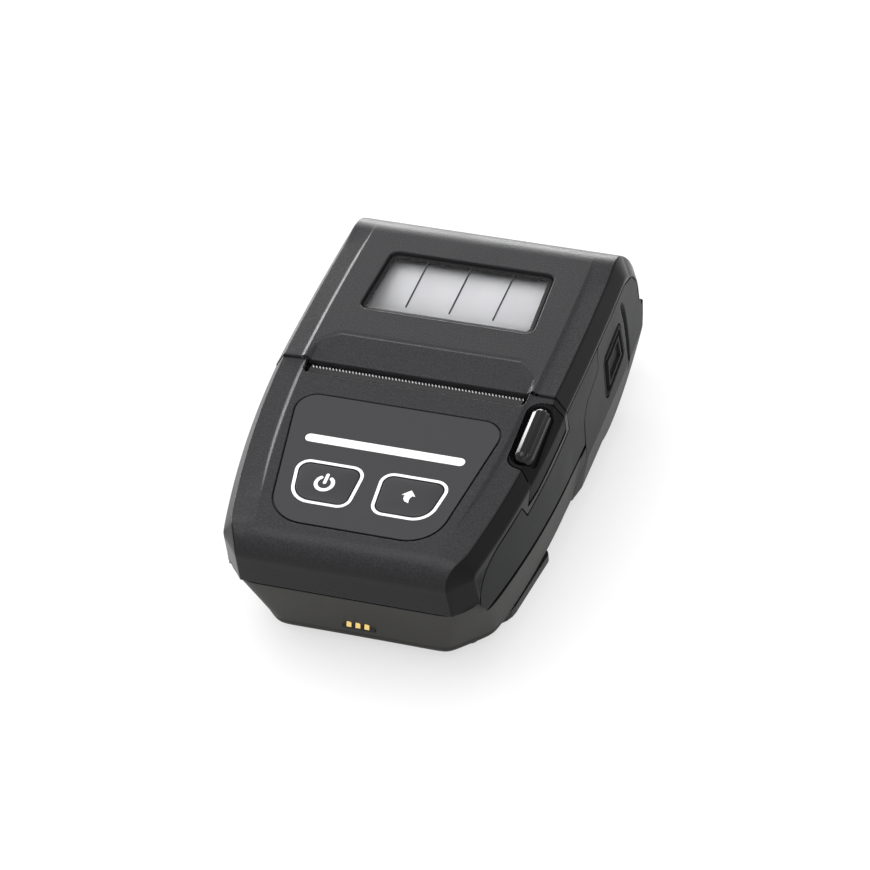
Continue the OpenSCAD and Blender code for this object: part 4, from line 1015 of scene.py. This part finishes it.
def stroke(line, half, place, w):
    """A drawn line with round ends: at distance u past an end the half width is sqrt(half^2 - u^2)."""
    line, run = resample(line, 0.12)
    ends = np.linspace(half, 0, 7)[:-1]
    first, last = unit(line[:1] - line[1:2]), unit(line[-1:] - line[-2:-1])
    path = np.concatenate([line[:1] + first * ends[:, None], line, line[-1:] + last * ends[::-1, None]])
    wide = np.sqrt(np.clip(half ** 2 - np.r_[ends, 0 * run, ends[::-1]] ** 2, 1e-6, None))[:, None]
    across = side_normals(path, 1)[:, None] * (wide * np.linspace(-1, 1, 5))[..., None]
    spots = path[:, None] + across
    return patch(place(spots[..., 0], spots[..., 1], w + 0 * spots[..., 0]))


pane_grid = closed_band(window_outline, [0.35, 0.35, 0.5, 1.5, 1.6], [-1.9, -0.95, -0.8, -0.8, -0.85],
                        on_lid, (-1.9, -0.85))
pane_grid["polish"][4:8] = 1  # the pane's sides and border are printed in the shell's colour
shell_object("pane", [pane_grid], "lid", ["lid_window"], ("smoke_window", "shell"))

# %% [markdown]
# The two keys bulge a little, and fine white lines are printed round them. An image texture would blur up
# close, so the lines are thin meshes a few hundredths of a millimetre above the film. The signs on the keys
# are the common ones for power and for paper feed.

# %% Keys and printed lines
feed_recess = rounded([[3.3, -47.5], [18, -47.5], [20.2, -34.4], [2.5, -34.4]], [3, 5.5, 3, 3], 8)
feed_outline = offset(feed_recess, 0.6)
arrow = np.array([[0.3, 2.2], [-1.75, 0.35], [-0.95, 0.35], [-1.0, -0.35], [-0.85, -1.1], [-0.3, -1.7],
                  [0.75, -2.05], [0.6, -1.2], [0.65, -0.5], [0.85, 0.0], [1.1, 0.35], [1.85, 0.35]])


def on_key(side, bulge=0.35):
    """A place on a key: its top bulges by 1 - (x/9)^2 - (s/7.5)^2 of 0.35 mm, from the middle out."""
    def place(x, s, w):
        swell = np.clip(1 - ((x - 11.1) / 9) ** 2 - ((s + 41) / 7.5) ** 2, 0, 1) * (w > -0.5)
        return on_panel(x, s, w + bulge * swell) * np.array([side, 1, 1])
    return place


prints = []
for side, name in ((1, "feed"), (-1, "power")):
    key = closed_band(feed_outline, [0, 0, 0.15, 0.5], [-3, -0.1, 0.02, 0.06], on_key(side), (-3, 0.06))
    shell_object(name + "_key_top", [key], name, [name + "_key"], ("key_plastic",))
    prints.append(band(feed_outline, [-1.15, -0.3], [0.03, 0.03], on_key(side, 0)))
shell_object("key_outlines", prints, "case", (), ("print_white",))
arrow_sign = closed_band(arrow + [11.0, -41], [0], [0.1], on_key(1), (None, 0.1), [11.0, -40.4])
power_ring = stroke(arc_points(np.array([11.1, -41.2]), 2.2, 128, 412, 40), 0.5, on_key(-1), 0.1)
power_bar = stroke([[11.1, -41.0], [11.1, -38.3]], 0.45, on_key(-1), 0.1)
shell_object("feed_sign", [arrow_sign], "feed", (), ("print_white",))
shell_object("power_sign", [power_ring, power_bar], "power", (), ("print_white",))

# %% [markdown]
# The paper is torn on a thin steel bar with a saw edge, of which only the teeth are ground bright. An array
# of single teeth would leave seams between them. Here the whole edge is one grid, in which each tooth is
# two cells wide, and the bar's folded foot is a closed band carried along the width.

# %% Tear bar
tooth_x = np.linspace(-28.8, 28.8, 129)
tip_y = np.where(np.arange(129) % 2 == 0, -4.35, -3.65)
bar_y, bar_low, bar_high = -7.8, 44.2, 45.0
bar_rows = [(bar_y, bar_low), (bar_y, bar_high), (tip_y - 0.75, bar_high), (tip_y - 0.05, 44.55),
            (tip_y, 44.4), (tip_y - 0.05, bar_low), (bar_y, bar_low)]
bar = patch(np.stack([np.stack(np.broadcast_arrays(tooth_x, y, z), -1) for y, z in bar_rows]))
bar["polish"][2:5] = 1
foot = np.array([[-8.85, 40.3], [-7.95, 40.3], [-7.95, 42.4], [-7, 43.4], [-7, 45], [-7.9, 45], [-7.9, 43.8],
                 [-8.85, 42.8]])
leg = closed_band(foot, [0, 0], [-28, 28], lambda y, z, w: np.stack([w, y, z], -1), (-28, 28))
shell_object("tear_bar_teeth", [bar, leg], "case", ["tear_bar"], ("dark_steel", "tooth_steel"))

# %% [markdown]
# The lever lies flush in the front cover's corner. A separate model would have to match the bevel and the
# band there, so its cap is a piece of the cover's own surface, cut out with a gap round it. The ridged
# black lens let into it is a capsule: half circles turned round its long axis, with the ridges as a cosine
# on top.

# %% Release lever
def finer(grid, times):
    """The same grid with more rows and columns, filled in by straight interpolation."""
    rows, columns = grid["P"].shape[:2]
    r = np.linspace(0, rows - 1, (rows - 1) * times + 1)
    c = np.linspace(0, columns - 1, (columns - 1) * times + 1)
    r0, c0 = np.minimum(r.astype(int), rows - 2), np.minimum(c.astype(int), columns - 2)
    made = {"keep": np.ones((len(r) - 1, len(c) - 1), bool)}
    for key in ("P", "X", "S", "polish"):
        v = grid[key]
        ends = (1,) * (v.ndim - 2)
        a, b = (r - r0).reshape(-1, 1, *ends), (c - c0).reshape(1, -1, *ends)
        low, high = (v[at][:, c0] * (1 - b) + v[at][:, c0 + 1] * b for at in (r0, r0 + 1))
        made[key] = low * (1 - a) + high * a
    return made


lens_x, lens_s, lens_under, lens_radius, lens_half = 34.6, -13.6, 1.9, 2.6, 6.8
cap = front_side(front_wall + deeper, 12)
cap = finer({key: value[:68] for key, value in cap.items()}, 2)
far, _ = line_distance([[lens_x, -20.4], [lens_x, -6.8]], cap["X"], cap["S"])
cap["P"][..., 2] += 0.12 * np.exp(-((far - 3.75) / 0.3) ** 2) - 1.2 * blend(3.4, 2.8, far)
cap["polish"] = np.ones_like(cap["X"])
cut(cap, rounded([[31.25, -24.1], [35.6, -25.0], [41.4, -28.9], [42.7, -23.4], [43.6, -2.55], [31.25, -2.55]],
                 [2.9, 3, 0.5, 0.5, 0.5, 3.9], 8), drop_inside=False)
facet_at, facet_half, ridge_count, ridge_high = math.radians(121), math.radians(14), 14, 0.16
around_lens = np.radians(np.linspace(0, 360, 145))[None]
lens_turn = np.radians(np.linspace(-90, 90, 41))[:, None]
height = np.sin(lens_turn)
lens_along = lens_s + 2.7 * height + lens_half * np.sign(height) * (np.abs(height) > 0.01)
ridges = ridge_high * np.cos(lens_turn) * np.maximum(np.cos(around_lens * ridge_count), 0)
ridges = ridges * blend(95, 80, np.degrees(around_lens))
facet = np.minimum(1, math.cos(facet_half) / np.maximum(np.cos(around_lens - facet_at), 0.01))
lens_r = lens_radius * np.cos(lens_turn) * facet + ridges
lens = patch(on_panel(lens_x + lens_r * np.cos(around_lens), lens_along + 0 * lens_r,
                      lens_r * np.sin(around_lens) - lens_under))
shell_object("lever_cap", [cap, lens], "lever", ["release_lever"], ("gloss_black", "lever_black"))

# %% [markdown]
# The flap over the sockets is soft rubber with two raised loops, one inside the other. Sculpting or two
# bent tubes could make them. It is a grid in side view instead, like the wall round it, and its height
# depends only on how far inside its outline a point lies, so the loops follow the outline by themselves.

# %% Rubber flap
flap_y, flap_z = np.meshgrid(np.arange(26, 46.2, 0.25), np.arange(18, 35, 0.25))
flap_grid = patch(np.stack([half_width(flap_y, flap_z), flap_y, flap_z], -1), flap_y, flap_z)
inside_by = -outline_distance(flap_outline, flap_y, flap_z)[0]
near_axis = blend(28.0, 29.6, flap_y)  # 0 on the strip beside the flap's axis
steps = ((0.4, 0.3, 0.8), (-0.9, 1.3, 1.7), (0.9, 2.5, 2.9), (-0.7, 3.8, 4.2))  # rise, from, to, in mm
relief = sum(rise * blend(start, stop, inside_by) for rise, start, stop in steps)
flap_grid["P"][..., 0] += near_axis * relief - 0.1 - 0.15 * (1 - near_axis)
cut(flap_grid, offset(flap_outline, 0.3), drop_inside=False)
flap_edge = closed_band(flap_outline, [0.3, 0.3], [-0.2, -1.15], on_side, (None, -1.15))
axis_x, axis_y, bead_r, bead_z = 38.78, 27.5, 0.5, (19.7, 32.5)
bead = closed_band(circle(axis_x, axis_y, bead_r, 24), [0, 0], bead_z, flat_place(0), bead_z)
shell_object("flap", [flap_grid, flap_edge, bead], "port_flap", ["port_cover"], ("rubber_flap",))
